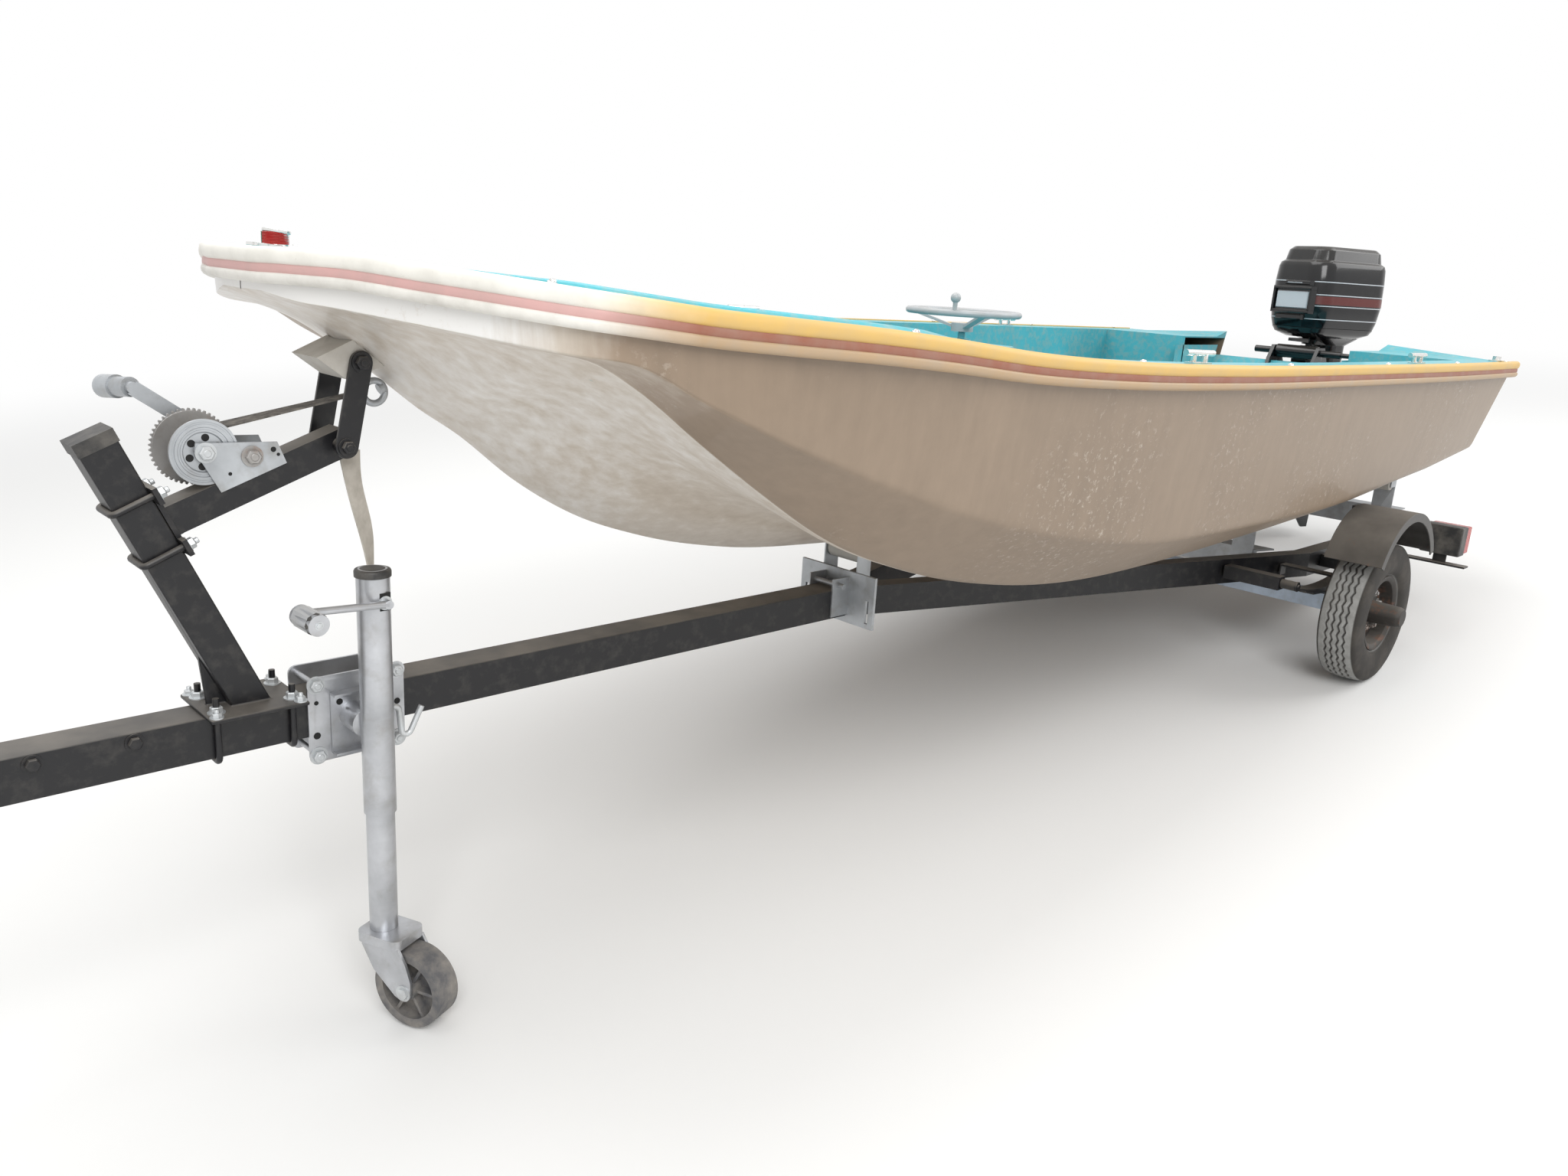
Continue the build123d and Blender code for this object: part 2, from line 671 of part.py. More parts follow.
slant = rail_wide * math.hypot(1, rail_slope)
with BuildPart() as frame_rails:
    for side in (1, -1):
        plan = [
            (apex_x, side * rail_out(apex_x)),
            (bend_x, side * rail_out(bend_x)),
            (rail_end, side * rail_out(bend_x)),
            (rail_end, side * (rail_out(bend_x) - rail_wide)),
            (bend_x + 6, side * (rail_out(bend_x) - rail_wide)),
            (apex_x - 30, side * (rail_out(apex_x - 30) - slant)),
            (apex_x - 30, side * 1),
            (apex_x, side * 1),
        ]
        plate(Plane.XY.offset(-tube), plan, tube)
    for side in (1, -1):
        outer = rail_out(bend_x) - rail_wall
        inner = rail_out(bend_x) - rail_wide + rail_wall
        front = apex_x - 60
        room = [
            (front, side * (rail_out(front) - rail_wall)),
            (bend_x, side * outer),
            (rail_end - 1, side * outer),
            (rail_end - 1, side * inner),
            (bend_x + 6, side * inner),
            (front, side * (rail_out(front) - slant + rail_wall)),
        ]
        plate(Plane.XY.offset(rail_wall - tube), room, tube - 2 * rail_wall, mode=Mode.SUBTRACT)
finish(frame_rails, "frame_rails")
export_step(frame_rails.part, "parts/frame_rails.step")

# Cross bracket that joins tongue and rails, with the latch angle in front
wing_half = 130
with BuildPart() as cross_bracket:
    block((apex_x + 0.15, bracket_x - 0.15), (-wing_half, wing_half), (-93, 44))
    for side in (1, -1):
        keyhole = side * (wing_half - 22)
        block((apex_x - 1, bracket_x + 1), (keyhole - 5, keyhole + 5), (-80, -20), Mode.SUBTRACT)
        block((bracket_x - 0.15, bracket_x + 60), sorted((side * (tube / 2 + 0.3), side * (tube / 2 + 5))), (-70, 30))
    round_bar((bracket_x + 40, -52, 12), (bracket_x + 40, 62, 12), 7)
finish(cross_bracket, "cross_bracket")
export_step(cross_bracket.part, "parts/cross_bracket.step")

# Crossmembers: one between the rails over the axle, one on top at the stern
cross_front = (-2770, -2846)
cross_rear = (-3640, -3716)
with BuildPart() as crossmembers:
    inner = rail_out(cross_front[0]) - slant - 0.2
    inner_aft = rail_out(cross_front[1]) - slant - 0.2
    for low, high in ((-64, -59), (3, 8)):
        corners = [(cross_front[0], inner), (cross_front[1], inner_aft), (cross_front[1], -inner_aft), (cross_front[0], -inner)]
        plate(Plane.XY.offset(low), corners, high - low)
    block((cross_front[0] - 5, cross_front[0]), (-inner, inner), (-62, 6))
    half = rail_out(bend_x) + 8
    block((cross_rear[0] - 5, cross_rear[0]), (-half, half), (0.2, 76))
    for low in (0.2, 71):
        block((cross_rear[1], cross_rear[0]), (-half, half), (low, low + 5))
finish(crossmembers, "crossmembers")
export_step(crossmembers.part, "parts/crossmembers.step")

# Rollers under the keel and the sponsons, on brackets of plate
roller_radius = 26
roller_bore = 6.2
pin_radius = 6
keel_roller_x = -1340
keel_half = 55
side_half = 30
ear = 4
# plate_x, y, foot height of each pair of uprights
upright_table = [(cross_front[0] + 3.2, 400, -22), (cross_rear[0] + 3.2, 500, 10)]
roller_ahead = 30


def roller_height(x, y, half):
    """Axle height of a roller that just carries the hull's underside."""
    lowest = min(bottom_at(x + ahead, y + reach) for ahead in (-8, 0, 8) for reach in (-half, -half / 2, 0, half / 2, half))
    return lowest - roller_radius - run_gap


keel_roller_z = roller_height(keel_roller_x, 0, 0)
with BuildPart() as hull_rollers:
    ends = [(keel_roller_x, side * keel_half, keel_roller_z) for side in (-1, 1)]
    round_bar(*ends, roller_radius, bore=roller_bore)
    for plate_x, y, foot in upright_table:
        x = plate_x + roller_ahead
        z = roller_height(x, y, side_half)
        for side in (1, -1):
            round_bar((x, side * (y - side_half), z), (x, side * (y + side_half), z), roller_radius, bore=roller_bore)
finish(hull_rollers, "hull_rollers")
export_step(hull_rollers.part, "parts/hull_rollers.step")

with BuildPart() as roller_brackets:
    for side in (1, -1):
        cheek_y = sorted((side * (keel_half + 1), side * (keel_half + 1 + ear)))
        block((keel_roller_x - 20, apex_x - 0.05), cheek_y, (0.2, keel_roller_z + 14))
    pin_half = keel_half + 1.5 + ear
    ends = [(keel_roller_x, side * pin_half, keel_roller_z) for side in (-1, 1)]
    round_bar(*ends, pin_radius)
    for plate_x, y, foot in upright_table:
        x = plate_x + roller_ahead
        z = roller_height(x, y, side_half)
        reach = side_half + 1 + ear
        for side in (1, -1):
            block((plate_x - 3, plate_x + 3), sorted((side * (y - reach), side * (y + reach))), (foot, z + 14))
            for end in (y - reach, y + reach - ear):
                block((plate_x - 3, x + 14), sorted((side * end, side * (end + ear))), (z - 14, z + 14))
            round_bar((x, side * (y - reach), z), (x, side * (y + reach), z), pin_radius)
finish(roller_brackets, "roller_brackets")
export_step(roller_brackets.part, "parts/roller_brackets.step")

# Axle, leaf springs and their hangers
axle_tube = 50
spindle_radius = 13
spring_y = 640
spring_half = 225
hub_inner = wheel_y - 52
spindle_out = 96
with BuildPart() as axle:
    half = axle_tube / 2
    block((wheel_x - half, wheel_x + half), (-hub_inner + 22, hub_inner - 22), (wheel_z - half, wheel_z + half))
    ends = [(wheel_x, side * (wheel_y + spindle_out), wheel_z) for side in (-1, 1)]
    round_bar(*ends, spindle_radius)
finish(axle, "axle")
export_step(axle.part, "parts/axle.step")

leaf_thick = 6
leaf_wide = 44
spring_rise = 28
leaf_table = [90, 150, spring_half]
leaf_spots = [-spring_half, -150, -90, -45, 0, 45, 90, 150, spring_half]
eye_z = wheel_z + axle_tube / 2 + 0.2 + (len(leaf_table) - 0.5) * leaf_thick + spring_rise + 8
eye_reach = spring_half + 8
eye_bolt = 7
with BuildPart() as leaf_springs:
    for side in (1, -1):
        plane = Plane(origin=(0, side * (spring_y - leaf_wide / 2), 0), x_dir=(1, 0, 0), z_dir=(0, -1, 0))
        for level, reach in enumerate(leaf_table):
            low = wheel_z + axle_tube / 2 + 0.2 + leaf_thick * level
            points = [(wheel_x + x, low + spring_rise * (x / spring_half) ** 2) for x in leaf_spots if abs(x) <= reach]
            plate(plane, points + [(x, z + leaf_thick) for x, z in reversed(points)], -side * leaf_wide)
        for x in (wheel_x + eye_reach, wheel_x - eye_reach):
            ends = [(x, side * (spring_y + half), eye_z) for half in (-leaf_wide / 2, leaf_wide / 2)]
            round_bar(*ends, 14)
    for side in (1, -1):
        for x in (wheel_x + eye_reach, wheel_x - eye_reach):
            ends = [(x, side * (spring_y + half), eye_z) for half in (-leaf_wide / 2 - 1, leaf_wide / 2 + 1)]
            round_bar(*ends, eye_bolt + run_gap, mode=Mode.SUBTRACT)
finish(leaf_springs, "leaf_springs")
export_step(leaf_springs.part, "parts/leaf_springs.step")

with BuildPart() as spring_hangers:
    for side in (1, -1):
        for x in (wheel_x + eye_reach, wheel_x - eye_reach):
            start, end = rail_out(x - 20) + 0.2, spring_y - leaf_wide / 2 - 0.3
            block((x - 20, x + 20), sorted((side * start, side * end)), (eye_z - 20, eye_z + 20))
            round_bar((x, side * (end - 1), eye_z), (x, side * (spring_y + leaf_wide / 2 + 10), eye_z), eye_bolt)
            head = spring_y + leaf_wide / 2 + 0.3
            round_bar((x, side * head, eye_z), (x, side * (head + 6), eye_z), 15)
finish(spring_hangers, "spring_hangers")
export_step(spring_hangers.part, "parts/spring_hangers.step")

# Road wheels
for side, name in ((1, "port"), (-1, "starboard")):
    with BuildPart() as tyre:
        with BuildSketch(Plane(origin=(wheel_x, side * wheel_y, wheel_z), x_dir=(0, 1, 0), z_dir=(1, 0, 0))) as half_ring:
            with BuildLine():
                Polyline(
                    (-rim_width / 2 + 10.5, rim_radius + 0.2),
                    (-rim_width / 2 + 4.5, rim_radius + 12.3),
                    (-rim_width / 2 - 1, rim_radius + 14),
                    (-tyre_width / 2, rim_radius + 45),
                    (-tyre_width / 2 + 2, tyre_radius - 22),
                    (-tyre_width / 2 + 12, tyre_radius - 4),
                    (0, tyre_radius),
                    (tyre_width / 2 - 12, tyre_radius - 4),
                    (tyre_width / 2 - 2, tyre_radius - 22),
                    (tyre_width / 2, rim_radius + 45),
                    (rim_width / 2 + 1, rim_radius + 14),
                    (rim_width / 2 - 4.5, rim_radius + 12.3),
                    (rim_width / 2 - 10.5, rim_radius + 0.2),
                    close=True,
                )
            make_face()
        revolve(half_ring.sketch, axis=Axis((wheel_x, side * wheel_y, wheel_z), (0, 1, 0)))
    finish(tyre, f"tyre_{name}")
    export_step(tyre.part, f"parts/tyre_{name}.step")

    with BuildPart() as rim:
        with BuildSketch(Plane(origin=(wheel_x, side * wheel_y, wheel_z), x_dir=(0, side, 0), z_dir=(side, 0, 0))) as profile:
            with BuildLine():
                Polyline(
                    (-rim_width / 2, rim_radius + 12),
                    (-rim_width / 2, rim_radius + 7),
                    (-rim_width / 2 + 6, rim_radius - 5),
                    (0, rim_radius - 5),
                    (4, 45),
                    (4, 38),
                    (-46, 34),
                    (-46, spindle_radius + run_gap),
                    (spindle_out + 2, spindle_radius + run_gap),
                    (spindle_out + 2, 0),
                    (spindle_out + 14, 0),
                    (spindle_out + 14, 26),
                    (spindle_out + 2, 31),
                    (14, 34),
                    (14, 45),
                    (6, rim_radius - 5),
                    (rim_width / 2 - 6, rim_radius - 5),
                    (rim_width / 2, rim_radius + 7),
                    (rim_width / 2, rim_radius + 12),
                    (rim_width / 2 - 4, rim_radius + 12),
                    (rim_width / 2 - 10, rim_radius),
                    (-rim_width / 2 + 10, rim_radius),
                    (-rim_width / 2 + 4, rim_radius + 12),
                    close=True,
                )
            make_face()
        revolve(profile.sketch, axis=Axis((wheel_x, side * wheel_y, wheel_z), (0, 1, 0)))
    finish(rim, f"rim_{name}")
    export_step(rim.part, f"parts/rim_{name}.step")

# Fenders
fender_x = wheel_x - 3
fender_z = -28
fender_radius = 232
fender_y = (715, 878)
fender_thick = 4
fender_arc = 66
with BuildPart() as fenders:
    for side in (1, -1):
        with BuildSketch(Plane(origin=(fender_x, side * fender_y[0], fender_z), x_dir=(1, 0, 0), z_dir=(0, -1, 0))) as arc:
            Circle(fender_radius)
            Circle(fender_radius - fender_thick, mode=Mode.SUBTRACT)
            reach = 2 * fender_radius
            tip = (reach * math.sin(math.radians(fender_arc)), reach * math.cos(math.radians(fender_arc)))
            with BuildLine():
                Polyline((0, 0), tip, (reach, -reach), (-reach, -reach), (-tip[0], tip[1]), close=True)
            make_face(mode=Mode.SUBTRACT)
        extrude(arc.sketch, amount=-side * (fender_y[1] - fender_y[0]))
        with BuildSketch(Plane(origin=(fender_x, side * (fender_y[1] - fender_thick), fender_z), x_dir=(1, 0, 0), z_dir=(0, -1, 0))) as skirt:
            Circle(fender_radius - 1)
            Circle(fender_radius - 26, mode=Mode.SUBTRACT)
            with BuildLine():
                Polyline((0, 0), tip, (reach, -reach), (-reach, -reach), (-tip[0], tip[1]), close=True)
            make_face(mode=Mode.SUBTRACT)
        extrude(skirt.sketch, amount=-side * fender_thick)
finish(fenders, "fenders")
export_step(fenders.part, "parts/fenders.step")

# Stays under the fenders and straps out to the tail lights
light_x = -3300
light_y = (760, 880)
light_z = (14, 108)
lens_long = 46
fender_top = fender_z + fender_radius - fender_thick
arm_wide = 20
stay_y = 700
with BuildPart() as side_brackets:
    for side in (1, -1):
        start = rail_out(wheel_x - arm_wide) + 0.2
        span = (wheel_x - arm_wide, wheel_x + arm_wide)
        block(span, sorted((side * start, side * (start + 5))), (-60, -24))
        block(span, sorted((side * start, side * (stay_y + 6))), (-30, -24))
        block(span, sorted((side * stay_y, side * (stay_y + 6))), (-30, fender_top - 1.5))
        block(span, sorted((side * stay_y, side * 770)), (fender_top - 7, fender_top - 1.5))
    for side in (1, -1):
        start = rail_out(bend_x) + 0.2
        block((light_x - 20, light_x + 20), sorted((side * start, side * 903)), (-20, -14))
        block((light_x - 3, light_x + 3), sorted((side * 800, side * 840)), (-14, light_z[0] - 0.2))
        block((light_x - 20, light_x + 20), sorted((side * start, side * (start + 5))), (-50, -14))
finish(side_brackets, "side_brackets")
export_step(side_brackets.part, "parts/side_brackets.step")

# Tail lights
with BuildPart() as tail_lights:
    for side in (1, -1):
        block((light_x - 30, light_x + 22), sorted((side * light_y[0], side * light_y[1])), light_z)
finish(tail_lights, "tail_lights")
export_step(tail_lights.part, "parts/tail_lights.step")

with BuildPart() as tail_lenses:
    for side in (1, -1):
        block(
            (light_x - 30.2 - lens_long, light_x - 30.2),
            sorted((side * (light_y[0] + 3), side * (light_y[1] - 3))),
            (light_z[0] + 3, light_z[1] - 3),
        )
finish(tail_lenses, "tail_lenses")
export_step(tail_lenses.part, "parts/tail_lenses.step")

# Winch post: a leaning square tube, capped, on a clamped base plate
base_x = (104, 267)
base_half = 78
base_thick = 8
post_size = 60
post_wall = 4
post_foot = (185, 0, base_thick + 0.2)
post_head = (390, 0, 474)
post_aim = Vector(post_head[0] - post_foot[0], 0, post_head[2] - post_foot[2]).normalized()
post_aft = Vector(-post_aim.Z, 0, post_aim.X)


def post_point(run, off):
    """A point (x, z) at a run up the post's centreline and an offset aft of it."""
    spot = Vector(*post_foot) + post_aim * run + post_aft * off
    return (spot.X, spot.Z)


with BuildPart() as winch_post:
    foot = Vector(*post_foot) - post_aim * 40
    head = Vector(*post_head) - post_aim * post_wall
    square_bar((foot.X, 0, foot.Z), (head.X, 0, head.Z), post_size, post_size, wall=post_wall)
    square_bar((head.X, 0, head.Z), post_head, post_size, post_size)
    block((-200, 600), (-100, 100), (-200, base_thick - 1), Mode.SUBTRACT)
    block(base_x, (-base_half, base_half), (0.2, base_thick))
    gusset = [(250, base_thick - 1), (258, 105), post_point(98, 2 - post_size / 2), (216, base_thick - 1)]
    plate(Plane.XZ, gusset, 4, both=True)
finish(winch_post, "winch_post")
export_step(winch_post.part, "parts/winch_post.step")

# Winch arm: a clamping plate on the post's aft face and a square tube up to the bow stop
arm_size = 50
arm_wall = 4
clamp_thick = 8
clamp_run = (286, 408)
arm_back = Vector(300, 0, 331.4)
arm_front = Vector(-2, 0, 448.2)
arm_dir = (arm_front - arm_back).normalized()
arm_up = Vector(arm_dir.Z, 0, -arm_dir.X)
stop_bar = 12
stop_foot = (12, 443)


def arm_point(run, y, high):
    """A point at a run along the arm from its post end, and a height off its centreline."""
    spot = arm_back + arm_dir * run + arm_up * high
    return (spot.X, y, spot.Z)


def arm_plane(y):
    """The plane of the winch's side plates, X along the arm and its second axis up."""
    return Plane(origin=arm_point(0, y, 0), x_dir=arm_dir, z_dir=(0, 1, 0))


with BuildPart() as winch_arm:
    face = post_size / 2 + 0.2
    square_bar(arm_point(-60, 0, 0), tuple(arm_front), arm_size, arm_size, wall=arm_wall)
    beyond = [post_point(150, face + 2), post_point(600, face + 2), post_point(600, -200), post_point(150, -200)]
    plate(Plane.XZ, beyond, 40, both=True, mode=Mode.SUBTRACT)
    low, high = clamp_run
    backing = [post_point(low, face), post_point(high, face), post_point(high, face + clamp_thick), post_point(low, face + clamp_thick)]
    plate(Plane.XZ, backing, post_size / 2, both=True)
    round_bar((stop_foot[0], -40, stop_foot[1]), (stop_foot[0], 40, stop_foot[1]), stop_bar + 0.3, mode=Mode.SUBTRACT)
finish(winch_arm, "winch_arm")
export_step(winch_arm.part, "parts/winch_arm.step")

# Winch: two side plates on a base, drum with its flanges and gear, crank with its pinion
seat = arm_size / 2 + 0.3
plate_thick = 3
# outer faces of the port and the starboard plate
plate_port = seat + plate_thick
plate_starboard = -56
drum_at = (104, 79)
pinion_at = (167, 44)
flange_radius = 52
gear_radius = 59
core_radius = 16
pin = 8
side_form = [(99, 10), (214, 10), (214, 49), (96, 99), (90, 88)]
with BuildPart() as winch_frame:
    plate(arm_plane(seat), side_form, plate_thick)
    plate(arm_plane(plate_starboard), [(x, max(high, seat)) for x, high in side_form], plate_thick)
    floor_form = [(165, seat), (214, seat), (214, seat + plate_thick), (165, seat + plate_thick)]
    plate(arm_plane(plate_starboard), floor_form, plate_port - plate_starboard)
    for run, high in (drum_at, pinion_at):
        round_bar(arm_point(run, -80, high), arm_point(run, 60, high), pin + run_gap, mode=Mode.SUBTRACT)
finish(winch_frame, "winch_frame")
export_step(winch_frame.part, "parts/winch_frame.step")

drum_port, drum_starboard = 20, -46
with BuildPart() as winch_drum:
    run, high = drum_at
    round_bar(arm_point(run, drum_starboard, high), arm_point(run, drum_port, high), core_radius)
    round_bar(arm_point(run, plate_starboard - 10, high), arm_point(run, plate_port + 10, high), pin)
    round_bar(arm_point(run, drum_port - 6, high), arm_point(run, drum_port, high), flange_radius)
    round_bar(arm_point(run, drum_starboard, high), arm_point(run, drum_starboard + 6, high), gear_radius)
finish(winch_drum, "winch_drum")
export_step(winch_drum.part, "parts/winch_drum.step")

crank_y = -68
crank_end = (304, 537)
grip_end = (323, -150, 531)
with BuildPart() as winch_crank:
    run, high = pinion_at
    round_bar(arm_point(run, crank_y - 8, high), arm_point(run, plate_port + 10, high), pin)
    round_bar(arm_point(run, drum_starboard, high), arm_point(run, drum_starboard + 6, high), 12)
    root = arm_point(run, crank_y + 2.5, high)
    square_bar(root, (crank_end[0], crank_y + 2.5, crank_end[1]), 5, 24)
    round_bar((crank_end[0], crank_y + 5, crank_end[1]), (crank_end[0], crank_y - 14, crank_end[1]), 9)
    start = Vector(crank_end[0], crank_y - 8, crank_end[1])
    middle = start + (Vector(*grip_end) - start) * 0.5
    round_bar(tuple(start), grip_end, 16)
    round_bar(tuple(middle), grip_end, 19)
finish(winch_crank, "winch_crank")
export_step(winch_crank.part, "parts/winch_crank.step")

# Bow stop: two straps up from the arm, a V block between them against the stem
strap_y = 52
strap_thick = 6
strap_wide = 40
stop_head = (-18, 585)
stop_reach = (150, -340)
with BuildPart() as bow_stop:
    for side in (1, -1):
        middle = side * (strap_y + strap_thick / 2)
        ends = [(end[0], middle, end[1]) for end in (stop_foot, stop_head)]
        square_bar(*ends, strap_thick, strap_wide)
        for end in (stop_foot, stop_head):
            round_bar((end[0], side * strap_y, end[1]), (end[0], side * (strap_y + strap_thick), end[1]), strap_wide / 2)
    round_bar((stop_foot[0], -strap_y - 1, stop_foot[1]), (stop_foot[0], strap_y + 1, stop_foot[1]), stop_bar)
    round_bar((stop_head[0], -strap_y - 1, stop_head[1]), (stop_head[0], strap_y + 1, stop_head[1]), pin)
finish(bow_stop, "bow_stop")
export_step(bow_stop.part, "parts/bow_stop.step")

with BuildPart() as stop_block:
    plate(Plane.XZ, [(56, 593), (-44, 640), (-100, 590), (7, 557)], strap_y - 0.3, both=True)
    bow = [row for row in stations if stop_reach[0] >= row[0] >= stop_reach[1]]
    rings = [outline(station_plane(row[0]), [(y, z - 0.4) for y, z in hull_section(row)]) for row in bow]
    loft(sections=rings, ruled=True, mode=Mode.SUBTRACT)
    round_bar((stop_head[0], -60, stop_head[1]), (stop_head[0], 60, stop_head[1]), pin + run_gap, mode=Mode.SUBTRACT)
finish(stop_block, "stop_block")
export_step(stop_block.part, "parts/stop_block.step")

# Webbing strap: a roll on the drum and a straight span to the bow eye
roll_radius = 30
web_wide = 50
web_thick = 3
web_middle = (drum_port - 6 + drum_starboard + 6) / 2
with BuildPart() as winch_strap:
    run, high = drum_at
    ends = [arm_point(run, web_middle + half, high) for half in (-web_wide / 2, web_wide / 2)]
    round_bar(*ends, roll_radius, bore=core_radius + 0.2)
    centre = Vector(arm_point(run, web_middle, high))
    hook = Vector(eye_x + 28 + 20 + eye_bar + 0.3, 0, bow_eye_z - 12)
    aim = (hook - centre).normalized()
    top = centre - Vector(-aim.Z, 0, aim.X).normalized() * (roll_radius - web_thick / 2)
    with BuildSketch(along(tuple(top), tuple(hook))) as low_end:
        Rectangle(web_wide, web_thick)
    with BuildSketch(along(tuple(hook), tuple(2 * hook - top))) as high_end:
        Rectangle(web_wide * 0.6, web_thick)
    loft(sections=[low_end.sketch, high_end.sketch], ruled=True)
finish(winch_strap, "winch_strap")
export_step(winch_strap.part, "parts/winch_strap.step")

# Swivel jack on the port side of the tongue
jack_swivel = (15, -45)
outer_tube = 28.6
inner_tube = 25.4
jack_wall = 3
tube_top = 228
tube_foot = -216
fork_top = -452
side_plate = 5
swivel_pin = 16
plate_x = (-85, 95)
plate_span = (-125, 35)
with BuildPart() as jack_plate:
    inside = tube / 2 + 0.2
    for side in (1, -1):
        with BuildSketch(Plane(origin=(0, side * inside, 0), x_dir=(1, 0, 0), z_dir=(0, -1, 0))) as pressing:
            with Locations(((plate_x[0] + plate_x[1]) / 2, (plate_span[0] + plate_span[1]) / 2)):
                RectangleRounded(plate_x[1] - plate_x[0], plate_span[1] - plate_span[0], 14)
        extrude(pressing.sketch, amount=-side * side_plate)
    swivel_pin_end = jack_y - outer_tube - 4
    round_bar((jack_swivel[0], inside, jack_swivel[1]), (jack_swivel[0], swivel_pin_end, jack_swivel[1]), swivel_pin)
    for x in (plate_x[0] + 15, plate_x[1] - 15):
        for z in (plate_span[0] + 13, plate_span[1] - 13):
            round_bar((x, -inside - side_plate - 8, z), (x, inside + side_plate + 8, z), 5)
finish(jack_plate, "jack_plate")
export_step(jack_plate.part, "parts/jack_plate.step")

# Jack: outer and inner tube, with the pressed channel that turns on the plate
channel_x = (-34, 56)
channel_z = (-112, 4)
channel_thick = 4
lip = 22
with BuildPart() as jack_tube:
    boss = inside + side_plate + 0.5
    block(channel_x, (boss, boss + channel_thick), channel_z)
    for low in (channel_z[0], channel_z[1] - channel_thick):
        block(channel_x, (boss, boss + lip), (low, low + channel_thick))
    round_bar((jack_swivel[0], boss, jack_swivel[1]), (jack_swivel[0], jack_y - 10, jack_swivel[1]), swivel_pin + 10)
    post(0, jack_y, (tube_foot, tube_top), outer_tube)
    post(0, jack_y, (tube_foot + 40, tube_top - 20), outer_tube - jack_wall, Mode.SUBTRACT)
    post(0, jack_y, (fork_top, tube_foot + 60), inner_tube)
    post(0, jack_y, (fork_top + 40, tube_foot + 61), inner_tube - jack_wall, Mode.SUBTRACT)
    post(0, jack_y, (tube_top - 1, tube_top + 8), outer_tube + 2)
    post(0, jack_y, (tube_top + 7, tube_top + 13), outer_tube - 4)
    bore = (boss - 1, swivel_pin_end + 1)
    round_bar((jack_swivel[0], bore[0], jack_swivel[1]), (jack_swivel[0], bore[1], jack_swivel[1]), swivel_pin + run_gap, mode=Mode.SUBTRACT)
    post(0, jack_y, (fork_top - 1, fork_top + 30), 12.3, Mode.SUBTRACT)
finish(jack_tube, "jack_tube")
export_step(jack_tube.part, "parts/jack_tube.step")

crank_z = 184
grip_x = 146
with BuildPart() as jack_crank:
    arm_y = jack_y + outer_tube + 10
    round_bar((-8, jack_y + outer_tube + 0.3, crank_z), (-8, arm_y + 6, crank_z), 8)
    round_bar((-8, arm_y, crank_z), (grip_x, arm_y, crank_z + 8), 6.5)
    round_bar((grip_x, arm_y - 4, crank_z + 8), (grip_x, arm_y + 8, crank_z + 8), 8)
    round_bar((grip_x, arm_y + 7, crank_z + 8), (grip_x - 6, arm_y + 68, crank_z + 4), 18)
finish(jack_crank, "jack_crank")
export_step(jack_crank.part, "parts/jack_crank.step")

# Caster: a pressed fork that swivels in the inner tube, and a ribbed wheel
swivelled = turned(0, jack_y, caster_turn)
hat_deep = 20
hat_x = (-64, 34)
hat_half = 40
fork_inside = caster_width / 2 + 4
fork_thick = 4
axle_pin = 7
leg_form = [
    (22, fork_top - 16), (22, -478), (-4, -524), (-52, -566), (-66, -572),
    (-80, -570), (-89, -558), (-89, -530), (-78, -496), (-62, fork_top - 16),
]
with BuildPart() as caster_fork:
    with BuildSketch(Plane.XY.offset(fork_top - hat_deep)) as hat:
        with Locations(((hat_x[0] + hat_x[1]) / 2, jack_y)):
            RectangleRounded(hat_x[1] - hat_x[0], 2 * hat_half, 16)
    extrude(hat.sketch, amount=hat_deep - 0.3)
    with BuildSketch(Plane.XY.offset(fork_top - hat_deep - 1)) as hollow:
        with Locations(((hat_x[0] + hat_x[1]) / 2, jack_y)):
            RectangleRounded(hat_x[1] - hat_x[0] - 10, 2 * hat_half - 10, 12)
    extrude(hollow.sketch, amount=hat_deep - 5, mode=Mode.SUBTRACT)
    post(0, jack_y, (fork_top - 8, fork_top + 28), 12)
    for side in (1, -1):
        plane = Plane(origin=(0, jack_y + side * fork_inside, 0), x_dir=(1, 0, 0), z_dir=(0, -1, 0))
        plate(plane, leg_form, -side * (hat_half - 4 - fork_inside))
    reach = hat_half + 1
    round_bar((-caster_trail, jack_y - reach, caster_z), (-caster_trail, jack_y + reach, caster_z), axle_pin)
finish(caster_fork, "caster_fork", swivelled)
export_step(caster_fork.part, "parts/caster_fork.step")

tread_bore = 58
hub_radius_caster = 18
with BuildPart() as caster_wheel:
    half = caster_width / 2
    ends = [(-caster_trail, jack_y + side * half, caster_z) for side in (-1, 1)]
    round_bar(*ends, caster_radius, bore=tread_bore)
    for turn in range(0, 360, 60):
        dx, dz = math.cos(math.radians(turn)), math.sin(math.radians(turn))
        inner = (-caster_trail + 12 * dx, jack_y, caster_z + 12 * dz)
        outer = (-caster_trail + (tread_bore + 2) * dx, jack_y, caster_z + (tread_bore + 2) * dz)
        square_bar(inner, outer, caster_width - 12, 6, across=(0, 1, 0))
    ends = [(-caster_trail, jack_y + side * 3, caster_z) for side in (-1, 1)]
    round_bar(*ends, tread_bore + 2)
    ends = [(-caster_trail, jack_y + side * (half + 2), caster_z) for side in (-1, 1)]
    round_bar(*ends, hub_radius_caster)
    ends = [(-caster_trail, jack_y + side * 40, caster_z) for side in (-1, 1)]
    round_bar(*ends, axle_pin + run_gap, mode=Mode.SUBTRACT)
finish(caster_wheel, "caster_wheel", swivelled)
export_step(caster_wheel.part, "parts/caster_wheel.step")
